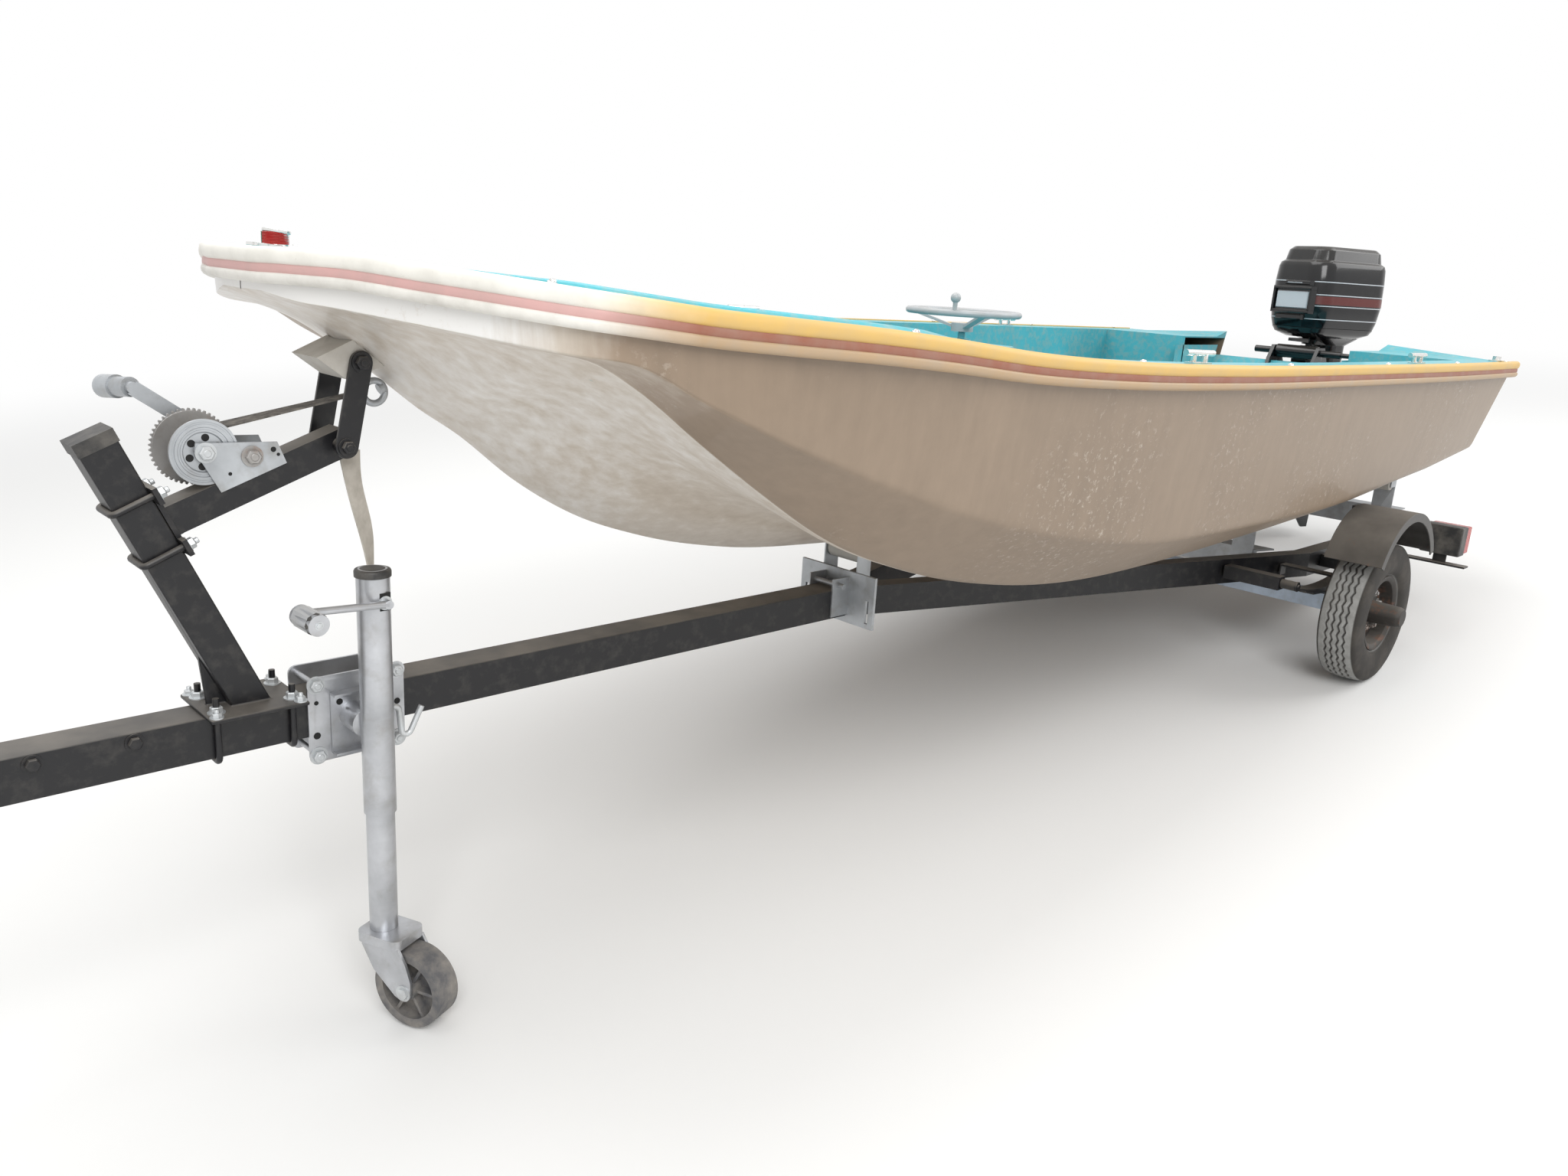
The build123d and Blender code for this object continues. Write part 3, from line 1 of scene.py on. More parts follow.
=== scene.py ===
# %% [markdown]
# # A runabout strapped on its trailer
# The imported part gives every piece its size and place. This script gives each one its
# finish, and adds what was too fine for the solids: the hull's smooth skin, the tyres'
# tread, the rub rail's bands, bolts, the strap's tail and the outboard's trim.

# %% Load the frame
import json
import math

import bmesh
import bpy
import numpy as np
from mathutils import Matrix, Vector

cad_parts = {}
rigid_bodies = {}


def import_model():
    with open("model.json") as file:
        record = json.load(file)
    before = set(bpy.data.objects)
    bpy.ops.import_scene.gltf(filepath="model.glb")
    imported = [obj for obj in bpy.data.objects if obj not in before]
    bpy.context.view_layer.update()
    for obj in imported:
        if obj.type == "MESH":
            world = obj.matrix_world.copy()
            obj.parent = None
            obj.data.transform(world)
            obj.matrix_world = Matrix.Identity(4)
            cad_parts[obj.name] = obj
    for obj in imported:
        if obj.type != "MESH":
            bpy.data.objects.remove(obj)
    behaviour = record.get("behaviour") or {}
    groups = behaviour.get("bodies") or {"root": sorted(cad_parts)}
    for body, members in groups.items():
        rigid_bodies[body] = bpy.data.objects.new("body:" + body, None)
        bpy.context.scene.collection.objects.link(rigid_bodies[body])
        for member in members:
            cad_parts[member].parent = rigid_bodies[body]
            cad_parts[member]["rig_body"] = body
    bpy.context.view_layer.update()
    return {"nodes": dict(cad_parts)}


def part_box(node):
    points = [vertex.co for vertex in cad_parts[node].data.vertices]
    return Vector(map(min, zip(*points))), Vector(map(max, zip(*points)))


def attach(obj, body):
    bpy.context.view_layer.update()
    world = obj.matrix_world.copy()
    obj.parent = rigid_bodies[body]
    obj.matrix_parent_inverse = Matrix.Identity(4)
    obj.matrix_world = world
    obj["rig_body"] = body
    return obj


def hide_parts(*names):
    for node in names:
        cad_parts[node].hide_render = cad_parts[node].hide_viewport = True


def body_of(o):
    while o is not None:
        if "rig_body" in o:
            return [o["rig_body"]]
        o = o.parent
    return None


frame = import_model()
print("pieces in the frame:", len(frame["nodes"]))

# %% [markdown]
# The trailer parks nose up on its tyres and jack wheel. Everything on it is easier to
# place in the tow frame: origin on top of the tongue at the jack, X along the tongue.
# Two hubs whose places are known in both frames give the turn and the shift between them.

# %% Tow frame
ROAD_HUB = np.array([-2.812, -0.110])
JACK_HUB = np.array([-0.0285, -0.554])


def middle(node):
    """Centre of a node's box."""
    low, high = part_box(node)
    return (low + high) / 2


parked_road, parked_jack = middle("tyre_port"), middle("caster_wheel")
tow_run = JACK_HUB - ROAD_HUB
parked_run = np.array([parked_jack.x - parked_road.x, parked_jack.z - parked_road.z])
nose_up = math.atan2(parked_run[1], parked_run[0]) - math.atan2(tow_run[1], tow_run[0])
TURN = np.array([
    [math.cos(nose_up), 0, -math.sin(nose_up)],
    [0, 1, 0],
    [math.sin(nose_up), 0, math.cos(nose_up)],
])
hub_in_tow = np.array([ROAD_HUB[0], 0, ROAD_HUB[1]])
SHIFT = np.array([parked_road.x, 0, parked_road.z]) - TURN @ hub_in_tow


def tow(points):
    """Points in the tow frame, turned by the pitch and shifted into the row frame."""
    return np.asarray(points, float) @ TURN.T + SHIFT


print("nose up by", round(math.degrees(nose_up), 2), "degrees")

# %% [markdown]
# The camera stands where the photograph was taken from, off the port bow at chest height.

# %% Camera
CAMERA_AT = (0.86814, 1.99980, 0.78166)
CAMERA_RIGHT = (-0.7210, 0.6903, 0.0601)
CAMERA_DOWN = (0.1398, 0.2298, -0.9631)
CAMERA_LOOK = (-0.6787, -0.6861, -0.2622)
LENS = 26.976

camera = bpy.data.objects.new("camera", bpy.data.cameras.new("camera"))
bpy.context.scene.collection.objects.link(camera)
bpy.context.scene.camera = camera
camera.data.lens = LENS
camera.data.sensor_width = 36
axes = np.array([CAMERA_RIGHT, -np.array(CAMERA_DOWN), -np.array(CAMERA_LOOK)]) @ TURN.T
pose = np.eye(4)
pose[:3, :3] = axes.T
pose[:3, 3] = tow([CAMERA_AT])[0]
camera.matrix_world = Matrix(pose.tolist())
print("camera at", [round(v, 3) for v in pose[:3, 3]])

# %% [markdown]
# Every finish is built from a few words: a cloud of noise on the object's own
# coordinates, a ramp that turns a number into a colour, and a mix of two colours.

# %% Words for finishes


def new_node(tree, kind, inputs=(), **settings):
    """A node with its settings; each input is set to a number or colour, or linked to a socket."""
    node = tree.nodes.new("ShaderNode" + kind)
    for key, value in settings.items():
        setattr(node, key, value)
    for key, value in dict(inputs).items():
        socket = node.inputs[key]
        if isinstance(value, bpy.types.NodeSocket):
            tree.links.new(value, socket)
        else:
            socket.default_value = (*value, 1) if socket.type == "RGBA" else value
    return node


def new_finish(name, rough=0.5, metal=0.0, coat=0.0):
    """An empty material with its shader's constants set."""
    mat = bpy.data.materials.new(name)
    mat.use_nodes = True
    shader = mat.node_tree.nodes["Principled BSDF"]
    shader.inputs["Roughness"].default_value = rough
    shader.inputs["Metallic"].default_value = metal
    shader.inputs["Coat Weight"].default_value = coat
    return mat, mat.node_tree, shader


def place(tree, stretch=(1, 1, 1)):
    """The object's own coordinates, stretched along each axis."""
    coords = new_node(tree, "TexCoord").outputs["Object"]
    return new_node(tree, "Mapping", {"Scale": stretch, "Vector": coords}).outputs["Vector"]


def cloud(tree, scale, detail=5, stretch=(1, 1, 1), rough=0.6):
    """Noise between 0 and 1 on the object's own coordinates."""
    inputs = {"Scale": scale, "Detail": detail, "Roughness": rough, "Vector": place(tree, stretch)}
    return new_node(tree, "TexNoise", inputs).outputs["Fac"]


def ramp(tree, source, stops):
    """Colours laid along a number, given as (position, (r, g, b))."""
    node = new_node(tree, "ValToRGB", {"Fac": source})
    while len(node.color_ramp.elements) < len(stops):
        node.color_ramp.elements.new(0.5)
    for element, (spot, shade) in zip(node.color_ramp.elements, stops):
        element.position = spot
        element.color = (*shade, 1)
    return node.outputs["Color"]


def level(tree, source, low, high):
    """A number stretched so that low becomes 0 and high becomes 1, and clamped."""
    inputs = {"Value": source, "From Min": low, "From Max": high}
    return new_node(tree, "MapRange", inputs).outputs["Result"]


def maths(tree, operation, first, second):
    """One sum on numbers or sockets."""
    return new_node(tree, "Math", {0: first, 1: second}, operation=operation).outputs[0]


def times(tree, first, second):
    """The product of two numbers or sockets."""
    return maths(tree, "MULTIPLY", first, second)


def plus(tree, first, second):
    """The sum of two numbers or sockets."""
    return maths(tree, "ADD", first, second)


def mix(tree, amount, first, second):
    """Two colours mixed by an amount; each is a colour or a socket."""
    return new_node(tree, "Mix", {0: amount, 6: first, 7: second}, data_type="RGBA").outputs[2]


def between(tree, amount, first, second):
    """A number that goes from first to second as the amount goes from 0 to 1."""
    return new_node(tree, "Mix", {0: amount, 2: first, 3: second}).outputs[0]


def part_of(tree, vector, name):
    """One coordinate of a vector: X, Y or Z."""
    return new_node(tree, "SeparateXYZ", {"Vector": vector}).outputs[name]


def read(tree, name):
    """A number that is kept on the points of a piece."""
    return new_node(tree, "Attribute", attribute_name=name).outputs["Fac"]


def facing_up(tree):
    """How far the surface faces upwards, from 0 to 1."""
    return level(tree, part_of(tree, new_node(tree, "NewGeometry").outputs["Normal"], "Z"), 0.1, 0.95)


def bump(tree, shader, source, depth, strength=0.5):
    """Fine relief from a number."""
    node = new_node(tree, "Bump", {"Strength": strength, "Distance": depth, "Height": source})
    tree.links.new(node.outputs["Normal"], shader.inputs["Normal"])


def colour(tree, shader, shade, rough=None):
    """The shader's colour and, where given, its roughness, from sockets."""
    tree.links.new(shade, shader.inputs["Base Color"])
    if rough:
        tree.links.new(rough, shader.inputs["Roughness"])


# %% [markdown]
# A pale floor, a plain bright surrounding and three wide soft lamps. Camera, glossy and
# transmission rays see white beyond the floor, while the object is lit at a plain level.

# %% Stage and light
LIT_BY, SEEN_AS = 0.62, 1.0
FLOOR_HALF, FLOOR_DROP = 30, 0.0005
FADE_FROM, FADE_TO = 3.5, 9.0

scene = bpy.context.scene
scene.view_settings.view_transform = "Standard"
scene.world = bpy.data.worlds.new("studio")
scene.world.use_nodes = True
tree = scene.world.node_tree
rays = new_node(tree, "LightPath").outputs
seen = maths(tree, "MAXIMUM", rays["Is Camera Ray"], rays["Is Glossy Ray"])
seen = maths(tree, "MAXIMUM", seen, rays["Is Transmission Ray"])
tree.links.new(between(tree, seen, LIT_BY, SEEN_AS), tree.nodes["Background"].inputs["Strength"])
tree.nodes["Background"].inputs["Color"].default_value = (1, 1, 1, 1)

floor_mesh = bpy.data.meshes.new("floor")
corners = [(x * FLOOR_HALF, y * FLOOR_HALF, 0) for x, y in ((-1, -1), (1, -1), (1, 1), (-1, 1))]
floor_mesh.from_pydata(corners, [], [(0, 1, 2, 3)])
floor = bpy.data.objects.new("floor", floor_mesh)
scene.collection.objects.link(floor)
floor.location.z = -FLOOR_DROP

floor_paint, tree, shader = new_finish("floor", 0.85)
shader.inputs["Base Color"].default_value = (0.84, 0.84, 0.83, 1)
shader.inputs["Specular IOR Level"].default_value = 0.2
coords = new_node(tree, "TexCoord").outputs["Object"]
reach = new_node(tree, "VectorMath", {0: coords}, operation="LENGTH").outputs["Value"]
fade = new_node(tree, "MapRange", {"Value": reach, "From Min": FADE_FROM, "From Max": FADE_TO},
                interpolation_type="SMOOTHSTEP").outputs["Result"]
white = new_node(tree, "Emission").outputs[0]
mixed = new_node(tree, "MixShader", {0: fade, 1: shader.outputs[0], 2: white})
tree.links.new(mixed.outputs[0], tree.nodes["Material Output"].inputs["Surface"])
floor_mesh.materials.append(floor_paint)


def lamp(name, spot, aim, size, power):
    """A square soft lamp at a spot, turned to look at a point."""
    light = bpy.data.lights.new(name, "AREA")
    light.shape = "SQUARE"
    light.size = size
    light.energy = power
    holder = bpy.data.objects.new(name, light)
    scene.collection.objects.link(holder)
    holder.location = spot
    holder.rotation_euler = (Vector(aim) - Vector(spot)).to_track_quat("-Z", "Y").to_euler()


LAMP_AIM = (0, 0, 0.6)
lamp("key_lamp", (3.2, 4.6, 4.8), LAMP_AIM, 3.5, 260)
lamp("fill_lamp", (-5.0, 3.0, 4.0), LAMP_AIM, 4.0, 150)
lamp("top_lamp", (0.0, -1.5, 6.0), LAMP_AIM, 5.0, 220)

# %% [markdown]
# Painted and plated steel that has stood outdoors: black enamel under dust that lies
# on whatever faces up, zinc with its cloudy spangle, and rust where the plating went.

# %% Metal finishes
DUST = (0.33, 0.30, 0.26)


def dusty_paint(name, base, dust=0.5, rough=0.45, rust=0.0):
    """Enamel with dust lying on its upper faces and in cloudy patches."""
    mat, tree, shader = new_finish(name, rough)
    fine = cloud(tree, 38, 6)
    broad = cloud(tree, 5, 4)
    lying = times(tree, facing_up(tree), level(tree, broad, 0.2, 0.6))
    film = times(tree, level(tree, fine, 0.5, 0.85), 0.22)
    amount = times(tree, maths(tree, "MAXIMUM", lying, film), dust)
    shade = mix(tree, amount, base, DUST)
    if rust:
        spots = level(tree, cloud(tree, 14, 8, rough=0.7), 0.66 - rust * 0.15, 0.74)
        shade = mix(tree, spots, shade, (0.19, 0.07, 0.03))
    colour(tree, shader, shade, plus(tree, times(tree, amount, 0.4), rough))
    bump(tree, shader, fine, 0.0006, 0.25)
    return mat


def zinc(name, base=(0.43, 0.45, 0.47), stain=0.4, rust=0.0, metal=0.6, rough=0.45):
    """Hot-dip zinc: cloudy grey with faint spangle, dirt, and rust if asked."""
    mat, tree, shader = new_finish(name, rough, metal)
    broad = cloud(tree, 9, 5)
    spangle = new_node(tree, "TexVoronoi", {"Scale": 70, "Vector": place(tree)}).outputs["Distance"]
    dark = tuple(v * 0.74 for v in base)
    pale = tuple(min(1, v * 1.2) for v in base)
    shade = mix(tree, level(tree, broad, 0.3, 0.7), dark, pale)
    shade = mix(tree, times(tree, spangle, 0.35), shade, base)
    dirt = times(tree, level(tree, cloud(tree, 21, 7), 0.5, 0.72), stain)
    shade = mix(tree, dirt, shade, (0.20, 0.17, 0.13))
    if rust:
        spots = level(tree, cloud(tree, 12, 8, rough=0.7), 0.62 - rust * 0.2, 0.72)
        shade = mix(tree, spots, shade, (0.23, 0.09, 0.035))
    colour(tree, shader, shade)
    bump(tree, shader, broad, 0.0008, 0.2)
    return mat


def chrome(name):
    """Pitted chrome: bright, with dull specks."""
    mat, tree, shader = new_finish(name, 0.14, 1.0)
    specks = level(tree, cloud(tree, 120, 5), 0.56, 0.72)
    shade = mix(tree, specks, (0.78, 0.78, 0.76), (0.33, 0.29, 0.24))
    colour(tree, shader, shade, plus(tree, times(tree, specks, 0.4), 0.12))
    return mat


black_paint = dusty_paint("black_paint", (0.0045, 0.0045, 0.006), 0.5, 0.42)
old_black = dusty_paint("old_black", (0.028, 0.025, 0.022), 0.42, 0.42, 0.2)
motor_enamel = dusty_paint("motor_enamel", (0.003, 0.003, 0.004), 0.14, 0.14)
galvanised = zinc("galvanised")
blue_zinc = zinc("blue_zinc", (0.42, 0.49, 0.58), 0.35)
rusty_zinc = zinc("rusty_zinc", (0.34, 0.33, 0.32), 0.5, 0.7)
bright_chrome = chrome("bright_chrome")
jack_zinc = zinc("jack_zinc", (0.47, 0.48, 0.50), 0.3, 0.0, 0.8, 0.33)
rim_steel = dusty_paint("rim_steel", (0.022, 0.018, 0.015), 0.3, 0.6, 0.75)
bright_zinc = zinc("bright_zinc", (0.55, 0.57, 0.58), 0.25)
# Near-black painted shade, laid in each hole and slot where the inside would lie in shade.
painted_hole_shade = dusty_paint("painted_hole_shade", (0.004, 0.004, 0.004), 0.1, 0.8)

# %% [markdown]
# The hull's gelcoat is white at the bow and brown with road dust aft of it. The hollow
# between keel and sponson has stayed paler, and a painted highlight runs as a pale line along
# the sponson's edge. Rain has drawn the dust into streaks, so one cloud is stretched along Z.

# %% Gelcoat


def hull_gelcoat():
    """White under brown dust: soil = share for the place + streaks + patches + fine grain.
    The place is two numbers on the skin: girth, 0 at the keel, 0.5 at the sponson's edge and
    1 at the gunwale, and run, metres aft of the jack."""
    mat, tree, shader = new_finish("hull_gelcoat", 0.45, 0.0, 0.12)
    girth, run = read(tree, "girth"), read(tree, "run")
    streaks = cloud(tree, 9, 7, (3.5, 3.5, 0.3))
    broad = cloud(tree, 1.8, 6)
    fine = cloud(tree, 30, 8)
    frost = cloud(tree, 75, 6, rough=0.75)
    belly = between(tree, level(tree, run, 0.3, 2.2), 0.16, 0.62)
    side = between(tree, level(tree, run, 0.0, 0.34), 0.12, 0.74)
    lip = between(tree, level(tree, run, -0.04, 0.16), -0.12, 0.70)
    soil = between(tree, level(tree, girth, 0.49, 0.53), belly, side)
    soil = between(tree, level(tree, girth, 0.80, 0.84), soil, lip)
    patchy = plus(tree, times(tree, streaks, 0.34), times(tree, broad, 0.40))
    soil = plus(tree, soil, maths(tree, "SUBTRACT", patchy, 0.36))
    soil = plus(tree, soil, times(tree, maths(tree, "SUBTRACT", fine, 0.5), 0.16))
    shade = ramp(tree, soil, [(0.0, (0.78, 0.77, 0.75)), (0.22, (0.52, 0.46, 0.39)),
                              (0.55, (0.27, 0.20, 0.14)), (1.0, (0.17, 0.125, 0.085))])
    pale = times(tree, level(tree, frost, 0.56, 0.64), level(tree, broad, 0.48, 0.62))
    shade = mix(tree, times(tree, pale, 0.45), shade, (0.58, 0.52, 0.45))
    # Painted highlight: a pale line along the sponson's edge, fading out between 0.5 and 1.3 m aft of the
    # jack.
    painted_edge_highlight_line = level(tree, maths(tree, "ABSOLUTE", maths(tree, "SUBTRACT", girth, 0.5), 0), 0.012, 0.002)
    wear_and_painted_highlight = times(tree, painted_edge_highlight_line, level(tree, run, 1.3, 0.5))
    shade = mix(tree, times(tree, wear_and_painted_highlight, 0.65), shade, (0.72, 0.69, 0.63))
    colour(tree, shader, shade)
    bump(tree, shader, fine, 0.0004, 0.15)
    return mat


def deck_gelcoat(name, bright):
    """Sun-bleached colour in broad patches, with grime in its grain."""
    mat, tree, shader = new_finish(name, 0.5, 0.0, 0.1)
    broad = cloud(tree, 4, 6)
    fine = cloud(tree, 45, 7)
    shade = ramp(tree, broad, [(0.3, tuple(v * 0.8 for v in bright)), (0.7, bright)])
    shade = mix(tree, times(tree, level(tree, fine, 0.45, 0.7), 0.5), shade, (0.36, 0.37, 0.31))
    colour(tree, shader, shade)
    bump(tree, shader, fine, 0.0005, 0.15)
    return mat


def tyre_compound():
    """Dark brown walls and a dusty tread rubbed pale by the road. `wear` is 0 on the walls, 1 on the tread.
    """
    mat, tree, shader = new_finish("tyre_rubber", 0.8)
    wear = read(tree, "wear")
    fine = cloud(tree, 45, 7)
    mud = times(tree, level(tree, cloud(tree, 14, 6), 0.45, 0.75), 0.5)
    wall = mix(tree, mud, (0.022, 0.019, 0.016), (0.10, 0.085, 0.07))
    tread = mix(tree, level(tree, fine, 0.35, 0.7), (0.22, 0.22, 0.21), (0.31, 0.31, 0.30))
    colour(tree, shader, mix(tree, wear, wall, tread))
    bump(tree, shader, fine, 0.0005, 0.25)
    return mat


tyre_rubber = tyre_compound()
white_gelcoat = hull_gelcoat()
teal_gelcoat = deck_gelcoat("teal_gelcoat", (0.075, 0.43, 0.50))

# %% [markdown]
# Rubber, plastic and webbing.

# %% Soft finishes


def dull(name, base, dust=0.4, rough=0.75, scale=26):
    """Matt rubber or plastic under uneven dust."""
    mat, tree, shader = new_finish(name, rough)
    patch = level(tree, cloud(tree, scale, 7), 0.38, 0.72)
    colour(tree, shader, mix(tree, times(tree, patch, dust), base, DUST))
    bump(tree, shader, cloud(tree, scale * 5, 4), 0.0006, 0.3)
    return mat


roller_rubber = dull("roller_rubber", (0.42, 0.41, 0.38), 0.5)
black_plastic = dull("black_plastic", (0.02, 0.02, 0.02), 0.25, 0.5)
pale_rubber = dull("pale_rubber", (0.50, 0.48, 0.44), 0.5)
brown_wheel = dull("brown_wheel", (0.10, 0.10, 0.105), 0.7)
webbing = dull("webbing", (0.06, 0.055, 0.05), 0.5, 0.9, 60)
silver_grip = dull("silver_grip", (0.42, 0.43, 0.44), 0.35, 0.35)
dirty_web = dull("dirty_web", (0.50, 0.47, 0.42), 0.75, 0.9, 40)


def rail_vinyl(name, bow, aft, dust):
    """Vinyl that is one colour at the bow and another aft: partly browned by the sun aft, and partly painted
    light on the bow and painted shade aft.
    """
    mat, tree, shader = new_finish(name, 0.5)
    shade_and_browning = plus(tree, part_of(tree, place(tree), "X"), times(tree, cloud(tree, 6, 4), 0.12))
    # Bow colour to aft colour along X: partly the sun's browning, partly painted light on the bow and painted
    # shade aft.
    shade = mix(tree, level(tree, shade_and_browning, 1.64, 1.48), bow, aft)
    patch = level(tree, cloud(tree, 16, 7), 0.42, 0.75)
    shade = mix(tree, times(tree, patch, dust), shade, DUST)
    cracks = level(tree, cloud(tree, 60, 8, rough=0.8), 0.66, 0.72)
    shade = mix(tree, times(tree, cracks, 0.4), shade, (0.16, 0.10, 0.06))
    colour(tree, shader, shade)
    bump(tree, shader, patch, 0.0004, 0.2)
    return mat


# Each bow colour is partly painted light; each aft colour is partly browning and partly painted shade.
yellow_vinyl = rail_vinyl("yellow_vinyl", (0.80, 0.78, 0.72), (0.62, 0.40, 0.12), 0.25)
red_insert = rail_vinyl("red_insert", (0.60, 0.36, 0.34), (0.27, 0.10, 0.06), 0.3)
tan_lip = rail_vinyl("tan_lip", (0.74, 0.72, 0.67), (0.42, 0.29, 0.17), 0.4)


def red_plastic():
    """Clear red under a light haze of dust."""
    mat, tree, shader = new_finish("red_lens", 0.25)
    shader.inputs["Transmission Weight"].default_value = 0.08
    haze = level(tree, cloud(tree, 40, 6), 0.4, 0.75)
    shade = mix(tree, times(tree, haze, 0.22), (0.40, 0.012, 0.010), (0.36, 0.16, 0.12))
    colour(tree, shader, shade)
    return mat


red_lens = red_plastic()
green_lens = dull("green_lens", (0.01, 0.16, 0.07), 0.15, 0.25)
hood_silver = dusty_paint("hood_silver", (0.50, 0.52, 0.55), 0.2, 0.3)
hood_red = dusty_paint("hood_red", (0.10, 0.012, 0.010), 0.2, 0.25)

# %% Finish for each node
NODES_BY_FINISH = [
    (white_gelcoat, "hull"), (teal_gelcoat, "deck_liner thwarts helm_console"),
    (yellow_vinyl, "rub_rail"), (silver_grip, "steering_wheel"),
    (bright_chrome, "bow_light deck_fittings"), (blue_zinc, "axle"), (old_black, "leaf_springs fenders"),
    (motor_enamel, "clamp_bracket swivel_bracket motor_leg gearcase propeller cowl"),
    (black_paint, "tongue coupler frame_rails spring_hangers side_brackets winch_post winch_arm bow_stop"),
    (galvanised, "bow_eye cross_bracket crossmembers roller_brackets winch_frame winch_crank"),
    (roller_rubber, "hull_rollers"), (black_plastic, "tail_lights"), (red_lens, "tail_lenses"),
    (rusty_zinc, "winch_drum"), (pale_rubber, "stop_block"), (webbing, "winch_strap"),
    (jack_zinc, "jack_plate jack_tube jack_crank caster_fork"), (brown_wheel, "caster_wheel"),
    (tyre_rubber, "tyre_port tyre_starboard"), (rim_steel, "rim_port rim_starboard"),
]
finished = set()
for finish, nodes in NODES_BY_FINISH:
    for node in nodes.split():
        mesh = frame["nodes"][node].data
        mesh.materials.clear()
        mesh.materials.append(finish)
        finished.add(node)
print("nodes without a finish:", set(frame["nodes"]) - finished)

# %% [markdown]
# The hull is one moulded skin. Sixteen stations give its keel, the soft hollow beside it,
# the sponson's edge, the chine and the gunwale. A cubic curve carries each of these lines
# from the bow to the transom, and each section is rounded where the moulding is rounded,
# so the skin is smooth along and soft or sharp across, as fibreglass is.

# %% Surface from a grid


def quads(index):
    """Faces between neighbouring rows and columns of point numbers."""
    return np.stack([index[:-1, :-1], index[1:, :-1], index[1:, 1:], index[:-1, 1:]], -1).reshape(-1, 4)


def surface(name, grid, finish, body, loop=False):
    """A mesh from a grid of points (rows, columns, 3), closed along both ways if asked."""
    rows, columns = grid.shape[:2]
    index = np.arange(rows * columns).reshape(rows, columns)
    if loop:
        index = np.vstack([index, index[:1]])
        index = np.hstack([index, index[:, :1]])
    return mesh_piece(name, grid.reshape(-1, 3), quads(index), finish, body)


def mesh_piece(name, points, faces, finish, body, smooth=True):
    """A piece from points in the row frame and faces of as many corners each, on a body."""
    faces = np.asarray(faces)
    mesh = bpy.data.meshes.new(name)
    mesh.vertices.add(len(points))
    mesh.vertices.foreach_set("co", np.asarray(points, np.float32).ravel())
    mesh.loops.add(faces.size)
    mesh.loops.foreach_set("vertex_index", faces.ravel().astype(np.int32))
    mesh.polygons.add(len(faces))
    mesh.polygons.foreach_set("loop_start", np.arange(0, faces.size, faces.shape[1]).astype(np.int32))
    mesh.update(calc_edges=True)
    mesh.validate()
    if smooth:
        mesh.polygons.foreach_set("use_smooth", np.ones(len(mesh.polygons), bool))
    mesh.materials.append(finish)
    piece = bpy.data.objects.new(name, mesh)
    scene.collection.objects.link(piece)
    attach(piece, body)
    return piece


BOAT, MOTOR = "boat_on_trailer", "motor_head"
PORT, UP = (0, 1, 0), (0, 0, 1)

# %% Hull lines
# x, keel z, hollow y z, sponson edge y z, chine y z, gunwale y z, in millimetres
HULL_ROWS = np.array([
    (150, 697, 30, 698, 58, 698, 84, 699, 95, 757),
    (135, 690, 60, 691, 110, 691, 150, 690, 160, 758),
    (105, 680, 110, 682, 180, 684, 240, 684, 250, 758),
    (44, 654, 190, 664, 325, 671, 428, 670, 440, 748),
    (-48, 578, 240, 632, 470, 650, 620, 650, 632, 733),
    (-142, 500, 290, 575, 560, 633, 675, 635, 690, 722),
    (-225, 445, 300, 552, 560, 588, 705, 590, 722, 713),
    (-340, 353, 300, 497, 560, 505, 735, 537, 765, 705),
    (-480, 269, 300, 434, 560, 408, 735, 486, 788, 696),
    (-650, 205, 300, 368, 560, 303, 735, 428, 797, 682),
    (-900, 148, 300, 300, 560, 205, 735, 352, 800, 658),
    (-1240, 118, 300, 240, 560, 128, 735, 278, 800, 639),
    (-1680, 108, 300, 205, 560, 99, 735, 228, 800, 627),
    (-2400, 112, 300, 200, 560, 120, 735, 222, 798, 620),
    (-3200, 130, 300, 215, 560, 165, 730, 275, 784, 615),
    (-3960, 150, 300, 235, 555, 215, 690, 325, 752, 612),
]) / 1000
TRANSOM_TOP = (-3.904, 0.609)
TRANSOM_RAKE = 0.315
NOTCH_HALF = 0.320
NOTCH_Z = 0.545
WELL_FLOOR = 0.425
WELL_FRONT = -3.500


def hermite(knots, values, at):
    """A smooth curve through the knots: a cubic whose slope at each knot is the mean slope
    of its neighbours, held to no more than three times the flatter one so it can't ripple."""
    step = np.diff(knots)[:, None]
    slope = np.diff(values, axis=0) / step
    mean = (slope[1:] * step[:-1] + slope[:-1] * step[1:]) / (step[1:] + step[:-1])
    tangent = np.vstack([slope[:1], mean, slope[-1:]])
    flatter = np.minimum(np.abs(slope[1:]), np.abs(slope[:-1])) * 3
    same = slope[1:] * slope[:-1] > 0
    tangent[1:-1] = np.where(same, np.clip(tangent[1:-1], -flatter, flatter), 0)
    i = np.clip(np.searchsorted(knots, at) - 1, 0, len(knots) - 2)
    h = step[i]
    t = ((at - knots[i]) / (knots[i + 1] - knots[i]))[:, None]
    a, b = values[i], values[i + 1]
    return ((2 * t**3 - 3 * t**2 + 1) * a + (t**3 - 2 * t**2 + t) * h * tangent[i]
            + (-2 * t**3 + 3 * t**2) * b + (t**3 - t**2) * h * tangent[i + 1])


def hull_lines(x):
    """Keel, hollow, edge, chine and gunwale at the stations x, as (y, z) pairs."""
    rows = HULL_ROWS[::-1]
    found = hermite(rows[:, 0], rows[:, 1:], np.asarray(x, float))
    return np.insert(found, 0, 0, axis=1).reshape(-1, 5, 2)


